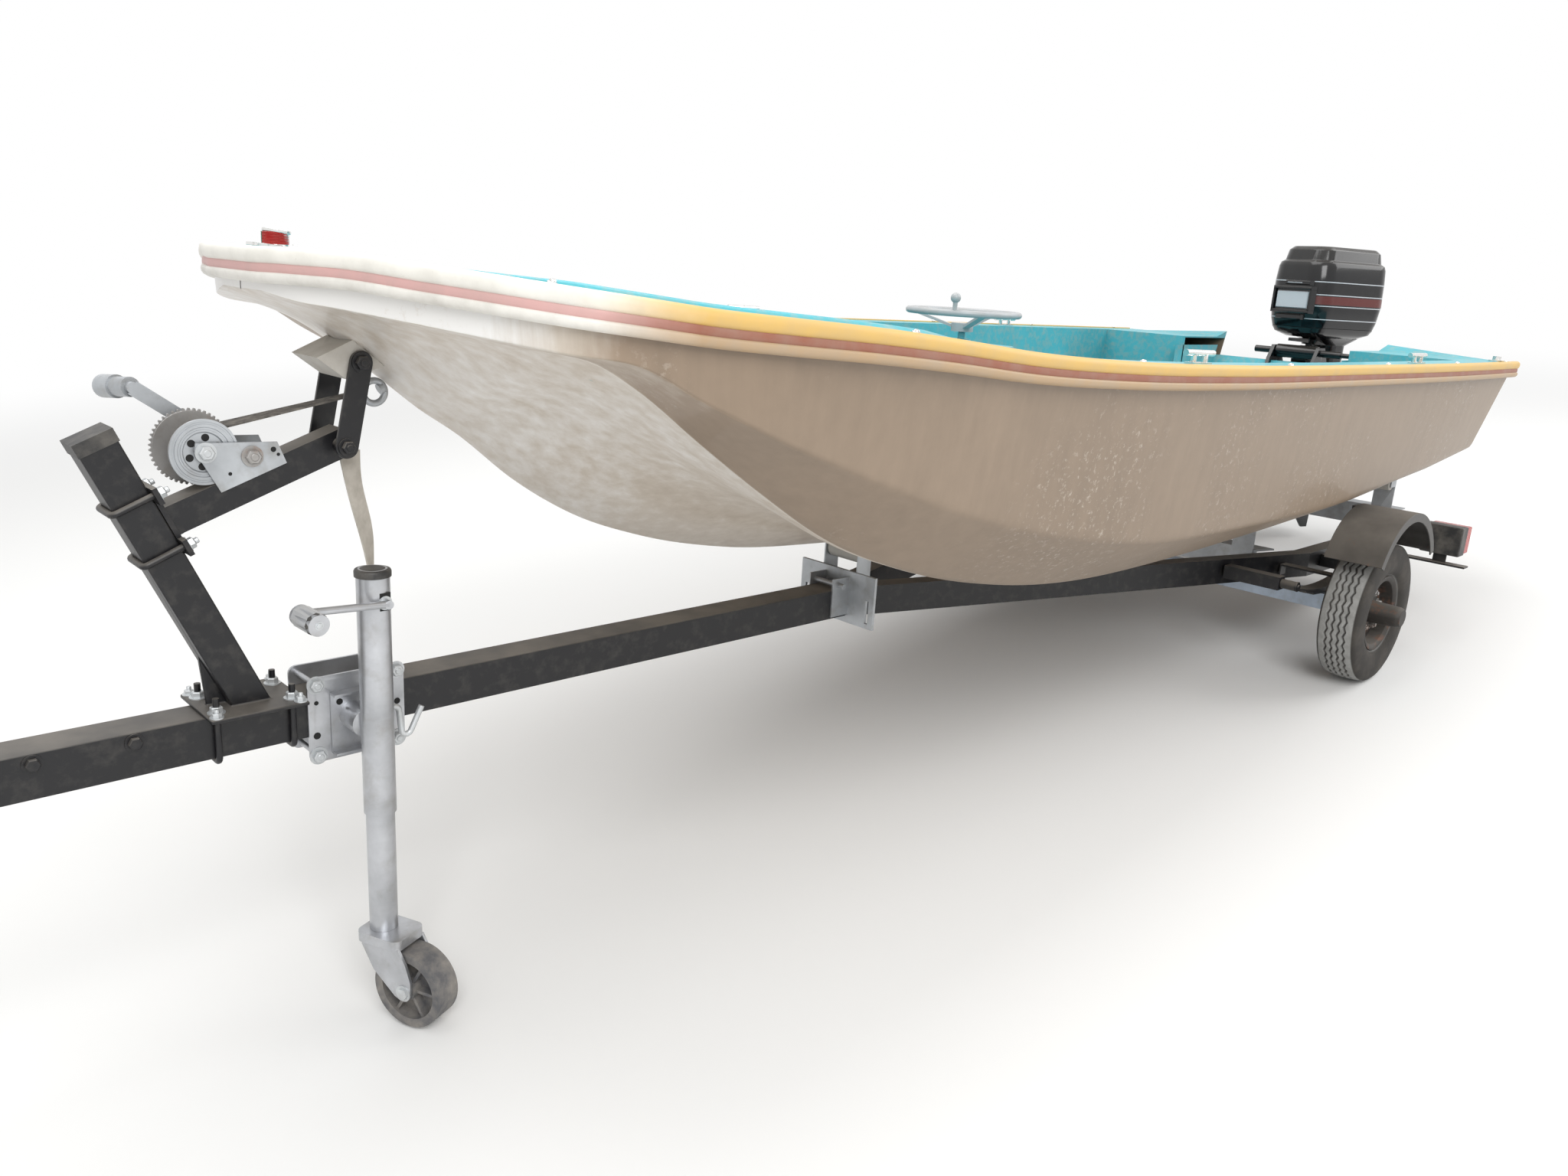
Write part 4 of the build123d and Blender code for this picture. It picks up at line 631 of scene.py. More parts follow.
def corner_curve(lines, soft, per_run):
    """Section points: straight runs joined by parabolas that start `soft` of a run before a
    corner and end as far after it. soft holds one number for each inner corner."""
    parts = [lines[:, :1]]
    t = np.linspace(0, 1, per_run)[None, :, None]
    for i in range(1, lines.shape[1] - 1):
        here = lines[:, i:i + 1]
        back, ahead = lines[:, i - 1:i], lines[:, i + 1:i + 2]
        start = here + (back - here) * soft[i - 1]
        end = here + (ahead - here) * soft[i - 1]
        parts.append(start * (1 - t)**2 + 2 * here * t * (1 - t) + end * t**2)
    parts.append(lines[:, -1:])
    return np.concatenate(parts, 1)


HULL_SOFT = (0.45, 0.16, 0.05)
HULL_STATIONS = 170
CROWDED_FORWARD = 1.35


def hull_half():
    """Half the skin, keel to gunwale: each line's station runs on to the raked transom."""
    share = np.linspace(0, 1, HULL_STATIONS)**CROWDED_FORWARD
    end = np.full(5, TRANSOM_TOP[0])
    for _ in range(4):
        heights = hull_lines(end)[np.arange(5), np.arange(5), 1]
        end = TRANSOM_TOP[0] - TRANSOM_RAKE * (heights - TRANSOM_TOP[1])
    start = HULL_ROWS[0, 0]
    lines = np.zeros((HULL_STATIONS, 5, 3))
    for k in range(5):
        x = start + (end[k] - start) * share
        lines[:, k, 0] = x
        lines[:, k, 1:] = hull_lines(x)[:, k]
    return corner_curve(lines, HULL_SOFT, 9)


NOSE_NARROWED, NOSE_AHEAD = 0.02, 0.002
port_half = hull_half()
mirror = port_half[:, 1:][:, ::-1] * (1, -1, 1)
skin = np.concatenate([mirror, port_half], 1)
nose = skin[:1].copy()
nose[..., 1] *= NOSE_NARROWED
nose[..., 0] += NOSE_AHEAD
skin = np.concatenate([nose, skin], 0)
hull_skin = surface("hull_skin", tow(skin)[:, ::-1], white_gelcoat, BOAT)
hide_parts("hull")


def mark(piece, name, values):
    """Keep one number on each point of a piece, for its finish to read."""
    kept = piece.data.attributes.new(name, "FLOAT", "POINT")
    kept.data.foreach_set("value", np.asarray(values, np.float32).ravel())


columns = port_half.shape[1]
girth = np.abs(np.arange(1 - columns, columns)) / (columns - 1)
mark(hull_skin, "girth", np.broadcast_to(girth[::-1], skin.shape[:2]))
mark(hull_skin, "run", -skin[:, ::-1, 0])
print("hull skin:", skin.shape[0] * skin.shape[1], "points")

# %% Transom and motor well


def transom_x(z):
    """How far forward the raked transom is at a height."""
    return TRANSOM_TOP[0] - TRANSOM_RAKE * (z - TRANSOM_TOP[1])


TRANSOM_GIRTH, TRANSOM_RUN = 0.7, 2.0
aft_line = port_half[-1]
order = np.argsort(aft_line[:, 1])


def transom_panel(name, y_low, y_high, top):
    """A stretch of the transom from the skin's own lower edge up to a height."""
    y = np.linspace(y_low, y_high, 40)
    bottom = np.interp(np.abs(y), aft_line[order, 1], aft_line[order, 2])
    rise = np.linspace(0, 1, 12)[:, None]
    z = bottom + (np.maximum(top, bottom) - bottom) * rise
    grid = np.stack([transom_x(z), np.broadcast_to(y, z.shape), z], -1)
    panel = surface(name, tow(grid)[::-1], white_gelcoat, BOAT)
    mark(panel, "girth", np.full(z.shape, TRANSOM_GIRTH))
    mark(panel, "run", np.full(z.shape, TRANSOM_RUN))
    return panel


gunwale_y, gunwale_z = aft_line[-1, 1], aft_line[-1, 2]
for name, span, top in (
    ("transom_middle", (-NOTCH_HALF, NOTCH_HALF), NOTCH_Z),
    ("transom_port", (NOTCH_HALF, gunwale_y), gunwale_z),
    ("transom_starboard", (-gunwale_y, -NOTCH_HALF), gunwale_z),
):
    transom_panel(name, *span, top)

TRANSOM_THICK = 0.046
WALL_RISE = 0.04
well_points = []
for y in (-NOTCH_HALF, NOTCH_HALF):
    for z in (WELL_FLOOR, NOTCH_Z + WALL_RISE):
        well_points += [(WELL_FRONT, y, z), (transom_x(z) + TRANSOM_THICK, y, z)]
for y in (-NOTCH_HALF, NOTCH_HALF):
    well_points += [(transom_x(NOTCH_Z) + inwards, y, NOTCH_Z) for inwards in (0, TRANSOM_THICK)]
well_faces = [(0, 1, 5, 4), (0, 2, 3, 1), (4, 5, 7, 6), (1, 9, 11, 5), (8, 10, 11, 9)]
well = mesh_piece("motor_well", tow(well_points), well_faces, teal_gelcoat, BOAT, False)

# %% [markdown]
# U-bolts, pins and rods are bent from round bar: a circle carried along a path whose
# corners are rounded by arcs.

# %% Bent paths


def unit(vectors):
    """Vectors scaled to a length of 1."""
    vectors = np.asarray(vectors, float)
    return vectors / np.linalg.norm(vectors, axis=-1, keepdims=True)


def rounded(corners, radius, steps=6):
    """A path through corners with each inner corner rounded by an arc of the radius."""
    corners = np.asarray(corners, float)
    out = [corners[:1]]
    for before, here, after in zip(corners, corners[1:], corners[2:]):
        u, v = unit(before - here), unit(after - here)
        half = math.acos(np.clip(u @ v, -1, 1)) / 2
        cut = radius / math.tan(half)
        centre = here + unit(u + v) * radius / math.sin(half)
        start, end = here + u * cut - centre, here + v * cut - centre
        angle = math.acos(np.clip(start @ end / radius**2, -1, 1))
        t = np.linspace(0, 1, steps)[:, None]
        out.append(centre + (np.sin((1 - t) * angle) * start + np.sin(t * angle) * end) / math.sin(angle))
    out.append(corners[-1:])
    return np.concatenate(out)


# %% [markdown]
# A trailer tyre has a square shoulder and a rib tread. The rubber is one profile turned
# about the axle, and the zigzag grooves are cut by lowering the radius where a point
# lies near a groove's line, which steps from side to side with the angle.

# %% Tyres
TRACK_HALF = 0.785
TREAD_HALF, TREAD_TOP, TREAD_CROWN = 0.0455, 0.2145, 0.0045
GROOVES = (-0.026, -0.009, 0.009, 0.026)
GROOVE_HALF, GROOVE_SLOPE, GROOVE_DEPTH, GROOVE_SWAY = 0.0032, 0.0012, 0.0055, 0.012
ZIGZAGS = 44
SIDE_WALL = [(0.0435, 0.1155), (0.050, 0.121), (0.0565, 0.135), (0.059, 0.152), (0.0588, 0.172),
             (0.0575, 0.188), (0.0560, 0.197), (0.0535, 0.2045), (0.049, 0.2095)]


def tyre(name, y, body):
    """The rubber at one side: radius = outline's radius - depth where a groove is near."""
    turns = np.linspace(0, 2 * math.pi, 8 * ZIGZAGS, endpoint=False)
    across = np.linspace(TREAD_HALF, -TREAD_HALF, 74)
    tread = [(v, TREAD_TOP - TREAD_CROWN * (abs(v) / TREAD_HALF)**2.5) for v in across]
    outline = np.array(SIDE_WALL + tread + [(-v, r) for v, r in SIDE_WALL[::-1]])
    width = np.broadcast_to(outline[:, 0], (len(turns), len(outline)))
    radius = np.broadcast_to(outline[:, 1], width.shape).copy()
    phase = turns[:, None] * ZIGZAGS / (2 * math.pi)
    sway = (np.abs((phase % 1) - 0.5) - 0.25) * GROOVE_SWAY
    cut = np.zeros(width.shape)
    for line in GROOVES:
        near = np.abs(width - line - sway)
        cut = np.maximum(cut, np.clip((GROOVE_HALF - near) / GROOVE_SLOPE, 0, 1))
    on_tread = np.abs(width) < 0.044
    radius -= np.where(on_tread, cut * GROOVE_DEPTH, 0)
    x = ROAD_HUB[0] + radius * np.sin(turns)[:, None]
    z = ROAD_HUB[1] + radius * np.cos(turns)[:, None]
    grid = np.stack([x, y + width, z], -1)
    piece = surface(name, tow(grid), tyre_rubber, body, loop=True)
    wear_and_painted_highlight = np.clip((0.0475 - np.abs(width)) / 0.002, 0, 1) * (1 - 0.85 * cut * on_tread)
    mark(piece, "wear", wear_and_painted_highlight)
    return piece


for side, y in (("port", TRACK_HALF), ("starboard", -TRACK_HALF)):
    piece = tyre(f"tread_{side}", y, f"road_wheel_{side}")
    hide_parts(f"tyre_{side}")

# %% [markdown]
# The rub rail is three strips on the gunwale: a rounded vinyl band, a recessed insert in
# another colour, and a lip under it. Each is its own profile, carried round the boat
# along the gunwale's line, from one quarter round the bow to the other.

# %% Rub rail
RAIL_BANDS = {
    "rail_band": (yellow_vinyl, [(0, 8), (7, 9.3), (14, 8.8), (18.6, 6.4), (21.2, 2.2), (22, -3),
                                 (21.4, -9), (19, -13.6), (16.6, -15.6), (0, -15.6)]),
    "rail_insert": (red_insert, [(0, -15.4), (16.4, -15.4), (17.4, -18), (17.7, -22), (17.4, -26),
                                 (16.4, -28.8), (0, -28.8)]),
    "rail_lip": (tan_lip, [(0, -28.6), (16.6, -28.6), (19.4, -30), (20.4, -33.4), (19.8, -38),
                           (17, -42.6), (11.6, -45.4), (0, -46)]),
}
aft_to_bow = np.concatenate([np.linspace(TRANSOM_TOP[0] + 0.012, 0.0, 150), np.linspace(0.005, 0.1498, 40)])
gunwale = np.concatenate([aft_to_bow[:, None], hull_lines(aft_to_bow)[:, 4]], 1)
front = np.array([(0.1508 + 0.0012 * (1 - t * t), t * 0.095, 0.757) for t in np.linspace(0.92, -0.92, 9)])
rail_line = np.concatenate([gunwale, front, gunwale[::-1] * (1, -1, 1)])


def capped(grid):
    """A grid with each end row drawn in to its own middle, so that both ends are closed."""
    ends = [row.mean(1, keepdims=True) + 0 * row for row in (grid[:1], grid[-1:])]
    return np.concatenate([ends[0], grid, ends[1]])


def rail_strip(form):
    """A strip whose points stand `out` square to the rail's plan and `up` from it."""
    along_rail = unit(np.gradient(rail_line, axis=0)[:, :2])
    for _ in range(3):
        along_rail[1:-1] = (along_rail[:-2] + along_rail[1:-1] * 2 + along_rail[2:]) / 4
    along_rail = unit(along_rail)
    outward = np.stack([-along_rail[:, 1], along_rail[:, 0], 0 * along_rail[:, 0]], -1)
    form = np.array(form) / 1000
    return capped(rail_line[:, None] + form[None, :, :1] * outward[:, None] + form[None, :, 1:] * UP)


# %% [markdown]
# Small hardware is turned or cut from bar, and one kind repeats on many bodies. Each
# function below gives closed grids of points, and `gathered` welds a list of them into one
# piece with its finish, so a dozen bolts on one body are one mesh.

# %% Hardware from grids
BAR = 0.0055


def basis(toward):
    """The unit direction and two more square to it and to each other."""
    n = unit(toward)
    u = unit(np.cross(UP if abs(n[2]) < 0.9 else (1, 0, 0), n))
    return n, u, np.cross(n, u)


def spun(profile, at, toward, sides=18):
    """A (distance, radius) profile turned about an axis through `at`."""
    n, u, v = basis(toward)
    angle = np.linspace(0, 2 * math.pi, sides, endpoint=False)
    around = np.cos(angle)[:, None] * u + np.sin(angle)[:, None] * v
    profile = np.asarray(profile, float)
    return np.asarray(at, float) + profile[:, :1, None] * n + profile[:, 1:, None] * around[None]


def disc(at, toward, radius, low=0.0, high=0.0004, sides=18):
    """A flat disc that stands on a face: painted shade standing for a hole seen from outside, or a washer."""
    return spun([(low, 0), (low, radius), (high, radius), (high, 0)], at, toward, sides)


def slab(start, end, wide, deep, across):
    """A straight bar of rectangular section, its width along `across`."""
    start, end = np.asarray(start, float), np.asarray(end, float)
    n = unit(end - start)
    u = unit(across - n * (n @ across))
    v = np.cross(n, u)
    corners = np.array([(1, 1), (-1, 1), (-1, -1), (1, -1)]) * (wide / 2, deep / 2)
    section = corners[:, :1] * u + corners[:, 1:] * v
    return np.stack([start + section * 0, start + section, end + section, end + section * 0])


def rod(path, radius, reference, sides=14):
    """A round rod along a path: at each point its circle is square to the tangent, and starts
    from the direction square to the tangent and the reference."""
    path = np.asarray(path, float)
    tangent = unit(np.gradient(path, axis=0))
    side = unit(np.cross(tangent, reference))
    up = np.cross(side, tangent)
    turn = np.linspace(0, 2 * math.pi, sides, endpoint=False)
    x, y = np.cos(turn)[None, :, None] * radius, np.sin(turn)[None, :, None] * radius
    return capped(path[:, None] + x * side[:, None] + y * up[:, None])


def u_bolt(spot, half, opening, far, bend, reference):
    """A U of round bar: legs `half` either side, from `opening` to the bend at `far`, where
    `spot` turns (y, distance) into a place."""
    corners = ((half, opening), (half, far), (-half, far), (-half, opening))
    return rod(rounded([spot(*corner) for corner in corners], bend), BAR, reference)


def gathered(name, grids, finish, body=BOAT, crisp=35):
    """Closed grids welded into one piece on a body, with edges sharper than `crisp` degrees
    left sharp, and given its finish."""
    points, faces, base = [], [], 0
    for grid in grids:
        rows, columns = grid.shape[:2]
        index = base + np.arange(rows * columns).reshape(rows, columns)
        faces.append(quads(np.hstack([index, index[:, :1]])))
        points.append(grid.reshape(-1, 3))
        base += rows * columns
    piece = mesh_piece(name, tow(np.concatenate(points)), np.concatenate(faces), finish, body)
    weld(piece.data, crisp)
    return piece


def sharpened(mesh, crisp):
    """Smooth faces, with edges sharper than `crisp` degrees left sharp."""
    mesh.polygons.foreach_set("use_smooth", np.ones(len(mesh.polygons), bool))
    mesh.set_sharp_from_angle(angle=math.radians(crisp))


def weld(mesh, crisp):
    """Merge doubled points, turn the faces outwards, and keep the sharp edges sharp."""
    work = bmesh.new()
    work.from_mesh(mesh)
    bmesh.ops.remove_doubles(work, verts=work.verts, dist=0.000002)
    bmesh.ops.recalc_face_normals(work, faces=work.faces)
    work.to_mesh(mesh)
    work.free()
    sharpened(mesh, crisp)


def bolt(at, toward, across=0.019, high=0.0075, stud=0.0, washer=0.0016):
    """A hexagon head on a round washer, with the end of a stud through it for a nut."""
    corner_radius = across / 2 / math.cos(math.radians(30))
    flat = disc(at, toward, across * 0.8, -0.0004, washer, 22)
    hexagon = [(washer, 0), (washer, corner_radius), (washer + high * 0.84, corner_radius),
               (washer + high, corner_radius * 0.86), (washer + high, 0)]
    grids = [flat, spun(hexagon, at, toward, 6)]
    if stud:
        tip = washer + high + stud
        grids.append(spun([(washer, 0), (washer, across * 0.29), (tip - 0.001, across * 0.29),
                           (tip, across * 0.24), (tip, 0)], at, toward, 16))
    return grids


def bolts(spots, toward, *sizes):
    """The same bolt at several places."""
    return [grid for spot in spots for grid in bolt(spot, toward, *sizes)]


# %% Rail strips
for name, (finish, form) in RAIL_BANDS.items():
    strip = gathered(name, [rail_strip(form)], finish, crisp=50)
    if name == "rail_band":
        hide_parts("rub_rail")

# %% [markdown]
# Pressed and cast parts have no razor edges. Each plain solid is shown by a merged copy of
# itself whose sharp edges are rolled over by a bevel, so that they catch the light.

# %% Rolled edges
# Width of each node's bevel, in tenths of a millimetre
EDGE_ROLL = {
    "tongue": 60, "coupler": 20, "frame_rails": 50, "cross_bracket": 8, "crossmembers": 12,
    "roller_brackets": 8, "hull_rollers": 40, "axle": 40, "leaf_springs": 12, "spring_hangers": 20,
    "fenders": 12, "side_brackets": 10, "tail_lights": 40, "tail_lenses": 40, "winch_post": 35,
    "winch_arm": 25, "winch_frame": 8, "winch_crank": 12, "winch_drum": 8, "bow_stop": 12,
    "stop_block": 30, "jack_plate": 12, "jack_tube": 8, "jack_crank": 15, "caster_fork": 12,
    "caster_wheel": 25, "clamp_bracket": 20, "swivel_bracket": 20, "motor_leg": 30, "gearcase": 15,
    "cowl": 40, "propeller": 8, "helm_console": 40, "thwarts": 60, "deck_fittings": 12, "bow_light": 12,
    "steering_wheel": 8, "bow_eye": 5, "rim_port": 12, "rim_starboard": 12,
}


CREASE = 35


def rolled(node, width):
    """A merged copy of a solid, beveled by a width where two faces meet at over CREASE degrees."""
    source = frame["nodes"][node]
    mesh = source.data.copy()
    work = bmesh.new()
    work.from_mesh(mesh)
    bmesh.ops.remove_doubles(work, verts=work.verts, dist=0.00002)
    bmesh.ops.dissolve_limit(work, angle_limit=0.004, verts=work.verts, edges=work.edges)
    work.to_mesh(mesh)
    work.free()
    sharpened(mesh, CREASE)
    piece = bpy.data.objects.new(f"{node}_shown", mesh)
    scene.collection.objects.link(piece)
    roll = piece.modifiers.new("edge_roll", "BEVEL")
    roll.width = width
    roll.segments = 2
    roll.limit_method = "ANGLE"
    roll.angle_limit = math.radians(CREASE)
    roll.harden_normals = True
    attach(piece, body_of(source)[0])
    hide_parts(node)


for node, tenths in EDGE_ROLL.items():
    rolled(node, tenths / 10000)
print("solids shown with rolled edges:", len(EDGE_ROLL))

# %% [markdown]
# The winch stands on an arm clamped to the leaning post. Its places are runs along the arm
# and heights above the arm's centreline, so one function turns those into the tow frame.

# %% Winch hardware
ARM_BACK, ARM_FRONT = np.array([0.300, 0, 0.3314]), np.array([-0.002, 0, 0.4482])
ARM_ALONG = unit(ARM_FRONT - ARM_BACK)
ARM_UP = np.array([ARM_ALONG[2], 0, -ARM_ALONG[0]])
POST_FOOT, POST_HEAD = np.array([0.185, 0, 0.0082]), np.array([0.390, 0, 0.474])
POST_ALONG = unit(POST_HEAD - POST_FOOT)
POST_AFT = np.array([-POST_ALONG[2], 0, POST_ALONG[0]])
DRUM, PINION = (0.104, 0.079), (0.167, 0.044)
CHEEK, CHEEK_SEAT, FLANGE_FACE = 0.0283, 0.0285, 0.0203
HOLE_CIRCLE = 0.0235
TEETH, TOOTH_ROOT, TOOTH_TIP, GEAR_INNER = 46, 0.0588, 0.0628, 0.050
GEAR_BACK, GEAR_FACE = (0, -0.0455, 0), (0, -0.0405, 0)
FLANGE_FORM = np.array([
    (20, 0), (20, 52.5), (21.5, 53.5), (23.5, 53), (23.5, 49), (22.2, 48.5), (22.2, 45.5), (23.5, 45),
    (23.5, 40.5), (22, 39.5), (22, 36.5), (23, 36), (23, 33), (20.3, 31), (20.3, 0),
]) / 1000


def on_arm(run, y, high):
    """A place by its run along the arm, y and height over the arm's centreline."""
    return ARM_BACK + ARM_ALONG * run + ARM_UP * high + (0, y, 0)


def on_post(run, y, aft):
    """A place by its run up the post, y and distance aft of the post's centreline."""
    return POST_FOOT + POST_ALONG * run + POST_AFT * aft + (0, y, 0)


bright = bolt(on_arm(DRUM[0], CHEEK_SEAT, DRUM[1]), PORT, 0.021, 0.0085, 0.001)
rusty = bolt(on_arm(PINION[0], CHEEK_SEAT, PINION[1]), PORT, 0.022, 0.010, 0.002, 0.003)
gathered("winch_bolts", bright, bright_zinc)
gathered("winch_nut", rusty, rusty_zinc)

drum_at = on_arm(DRUM[0], 0, DRUM[1])
gathered("drum_ring", [spun(FLANGE_FORM, drum_at, PORT, 72)], galvanised)
# Painted shade: near-black discs on the drum flange and the cheek plate, one in each hole.
hole_shades = []
for turn in np.radians(range(0, 360, 60)):
    run, high = DRUM[0] + HOLE_CIRCLE * math.cos(turn), DRUM[1] + HOLE_CIRCLE * math.sin(turn)
    hole = [(0, 0), (0, 0.0062), (0.0005, 0.0060), (0.0005, 0)]
    hole_shades.append(spun(hole, on_arm(run, FLANGE_FACE, high), PORT))
for run, high, radius in ((0.203, 0.040, 0.0045), (0.207, 0.029, 0.0028), (0.124, 0.032, 0.003)):
    hole_shades.append(disc(on_arm(run, CHEEK, high), PORT, radius))
gathered("winch_hole_shades", hole_shades, painted_hole_shade)

angle = np.arange(TEETH * 4)[:, None] * (2 * math.pi / (TEETH * 4))
outwards = ARM_ALONG * np.cos(angle) + ARM_UP * np.sin(angle)
outer = drum_at + outwards * np.tile([TOOTH_ROOT, TOOTH_ROOT, TOOTH_TIP, TOOTH_TIP], TEETH)[:, None]
inner = drum_at + outwards * GEAR_INNER
gear = np.stack([inner + GEAR_BACK, outer + GEAR_BACK, outer + GEAR_FACE, inner + GEAR_FACE,
                 inner + GEAR_BACK])
gathered("gear_teeth", [gear], rusty_zinc)

# %% Clamps round the post
CLAMP_HALF, CLAMP_OPEN, CLAMP_FAR = 0.0365, 0.050, -0.034
BAR_PLATE_HALF, BAR_PLATE_AFT = 0.052, 0.0345
clamps, nuts = [], []
for run in (0.300, 0.394):
    clamps.append(u_bolt(lambda y, aft: on_post(run, y, aft),
                         CLAMP_HALF, CLAMP_OPEN, CLAMP_FAR, 0.008, POST_ALONG))
    ends = [on_post(run, y, BAR_PLATE_AFT) for y in (-BAR_PLATE_HALF, BAR_PLATE_HALF)]
    clamps.append(slab(*ends, 0.028, 0.0078, POST_ALONG))
    spots = [on_post(run, y, 0.0385) for y in (CLAMP_HALF, -CLAMP_HALF)]
    nuts += bolts(spots, POST_AFT, 0.017, 0.009, 0.007)
gathered("post_clamps", clamps, black_paint)
gathered("post_nuts", nuts, bright_zinc)
cap = slab(on_post(0.490, 0, 0), on_post(0.512, 0, 0), 0.0632, 0.0632, PORT)
gathered("post_cap", [cap], black_plastic)

# %% Base plate
BASE_TOP, BASE_HALF = 0.0083, 0.0445
ROD_RUNS = (0.122, 0.248)
base_rods = [u_bolt(lambda y, z: (x, y, z), BASE_HALF, 0.034, -0.0815, 0.010, (1, 0, 0)) for x in ROD_RUNS]
rod_spots = [(x, y, BASE_TOP) for x in ROD_RUNS for y in (BASE_HALF, -BASE_HALF)]
base_spots = [(x, y, BASE_TOP) for x in (0.116, 0.255) for y in (0.067, -0.067)]
base_nuts = bolts(rod_spots, UP, 0.018, 0.010, 0.010) + bolts(base_spots, UP, 0.014, 0.007, 0.006)
gathered("base_rods", base_rods, black_paint)
gathered("base_nuts", base_nuts, bright_zinc)

stop_bolts = []
for side in (1, -1):
    for x, z, across, high in ((-0.018, 0.585, 0.022, 0.009), (0.012, 0.443, 0.020, 0.008)):
        stop_bolts += bolt((x, side * 0.0585, z), (0, side, 0), across, high, 0.002)
gathered("stop_bolts", stop_bolts, black_paint)
tongue_spots = [(x, 0.0383, -0.017) for x in (0.373, 0.516)]
gathered("tongue_bolts", bolts(tongue_spots, PORT, 0.019, 0.008), black_paint)

# %% [markdown]
# The jack turns on a pressed plate bolted through the tongue. Its tube has a plastic cap,
# a slot for the crank's shaft and a bent pull pin; the crank ends in an eight-sided grip.

# %% Jack hardware
PLATE_FACE = 0.0434
PIN_PATH = [(-0.030, 0.090, -0.030), (-0.050, 0.092, -0.030), (-0.056, 0.090, -0.086),
            (-0.070, 0.090, -0.092), (-0.096, 0.090, -0.040)]
CAP_FORM = [(0.2275, 0), (0.2275, 0.0312), (0.2365, 0.0314), (0.2395, 0.0300), (0.2408, 0.0250),
            (0.2414, 0.014), (0.2416, 0)]
plate_spots = [(x, 0.0436, z) for x in (-0.070, 0.080) for z in (-0.112, 0.022)]
gathered("plate_nuts", bolts(plate_spots, PORT, 0.0205, 0.0085, 0.0015), bright_zinc)
# Painted shade: three near-black discs, one in each open hole of the plate.
plate_hole_shades = [disc((x, PLATE_FACE, z), PORT, radius, sides=20)
               for x, z, radius in ((0.081, -0.074, 0.0065), (-0.071, -0.040, 0.006), (0.080, -0.012, 0.004))]
gathered("plate_hole_shades", plate_hole_shades, painted_hole_shade)

jack_bits = bolt((0.015, 0.0482, -0.045), PORT, 0.030, 0.010, 0.002)
jack_bits.append(rod(rounded(PIN_PATH, 0.010), BAR, PORT))
jack_bits.append(disc((-0.008, 0.1398, 0.184), PORT, 0.0125, -0.001, 0.0015, 22))
gathered("jack_bits", jack_bits, bright_zinc, "jack")
# Painted shade: a near-black slab in the tube's slot and a near-black disc in a hole of the plate.
slot_shades = [slab((-0.008, 0.1385, 0.170), (-0.008, 0.1385, 0.202), 0.020, 0.0042, (1, 0, 0)),
              disc((0.040, 0.0480, -0.016), PORT, 0.006)]
gathered("jack_slot_shade", slot_shades, painted_hole_shade, "jack")
gathered("jack_cap", [spun(CAP_FORM, (0, 0.112, 0), UP, 40)], black_plastic, "jack")

grip_root, grip_tip = np.array([0.146, 0.1576, 0.192]), np.array([0.140, 0.2186, 0.188])
grip_way = grip_tip - grip_root
reach = np.linalg.norm(grip_way)
grip_form = [(0.001, 0), (0.001, 0.0165), (0.006, 0.0195), (reach - 0.010, 0.0192), (reach - 0.0095, 0)]
end_form = [(reach - 0.010, 0), (reach - 0.010, 0.0195), (reach - 0.002, 0.0188), (reach, 0.0165), (reach, 0)]
grip_nut = bolt(grip_root + grip_way * ((reach + 0.0001) / reach), grip_way, 0.009, 0.002, 0, 0.0005)
gathered("jack_grip", [spun(grip_form, grip_root, grip_way, 8)], silver_grip, "jack")
gathered("jack_grip_end", [spun(end_form, grip_root, grip_way, 8)], black_plastic, "jack")
gathered("jack_grip_nut", grip_nut, bright_zinc, "jack")

# %% Caster hardware
SWIVEL_TURN = math.radians(-67)
axle_way = np.array([-math.sin(SWIVEL_TURN), math.cos(SWIVEL_TURN), 0])
wheel_middle = np.array([JACK_HUB[0], 0.1792, JACK_HUB[1]])
caster_nuts = []
for side in (1, -1):
    caster_nuts += bolt(wheel_middle + axle_way * side * 0.0363, axle_way * side, 0.020, 0.0045, 0.0)
gathered("caster_nuts", caster_nuts, bright_zinc, "caster_fork")

# %% [markdown]
# Webbing hangs from the arm's front end, twisting as it falls. It is a thin closed ribbon
# whose width turns from across the boat to along it.

# %% Strap tail
TAIL_TOP, TAIL_FALL = np.array([-0.016, 0, 0.4275]), (-0.034, 0.004, -0.2365)
WEB_HALF, WEB_NARROWED, WEB_THICK = 0.023, 0.004, 0.0012
share = np.linspace(0, 1, 40)[:, None]
line = TAIL_TOP + share * TAIL_FALL + np.sin(share * 7) * (0.004, 0.003, 0)
turn = np.radians(16 + 34 * share[:, 0] + 5 * np.sin(share[:, 0] * 8))
width = np.stack([np.cos(turn), np.sin(turn), 0.05 * np.ones(40)], -1) * (WEB_HALF - WEB_NARROWED * share)
depth = np.stack([-np.sin(turn), np.cos(turn), np.zeros(40)], -1) * WEB_THICK
tail = np.stack([line + width - depth, line + width + depth, line - width + depth, line - width - depth], 1)
gathered("strap_tail", [capped(tail)], dirty_web)

# %% Deck fastenings and bow light
SNAPS = ((-0.035, 0.606, 0.736), (-0.576, 0.793, 0.689), (-1.266, 0.800, 0.638), (-1.950, 0.799, 0.624),
         (-2.583, 0.795, 0.619), (-3.186, 0.784, 0.615), (-3.768, 0.760, 0.613))
DOME = np.array([(0, 0), (0, 78), (14, 76), (22, 56), (36, 52), (52, 36), (56, 0)]) / 10000
snaps = [spun(DOME, (x, side * (y + 0.004), z + 0.0082), (0, side * 0.3, 1))
         for x, y, z in SNAPS for side in (1, -1)]
gathered("snap_fasteners", snaps, bright_chrome)

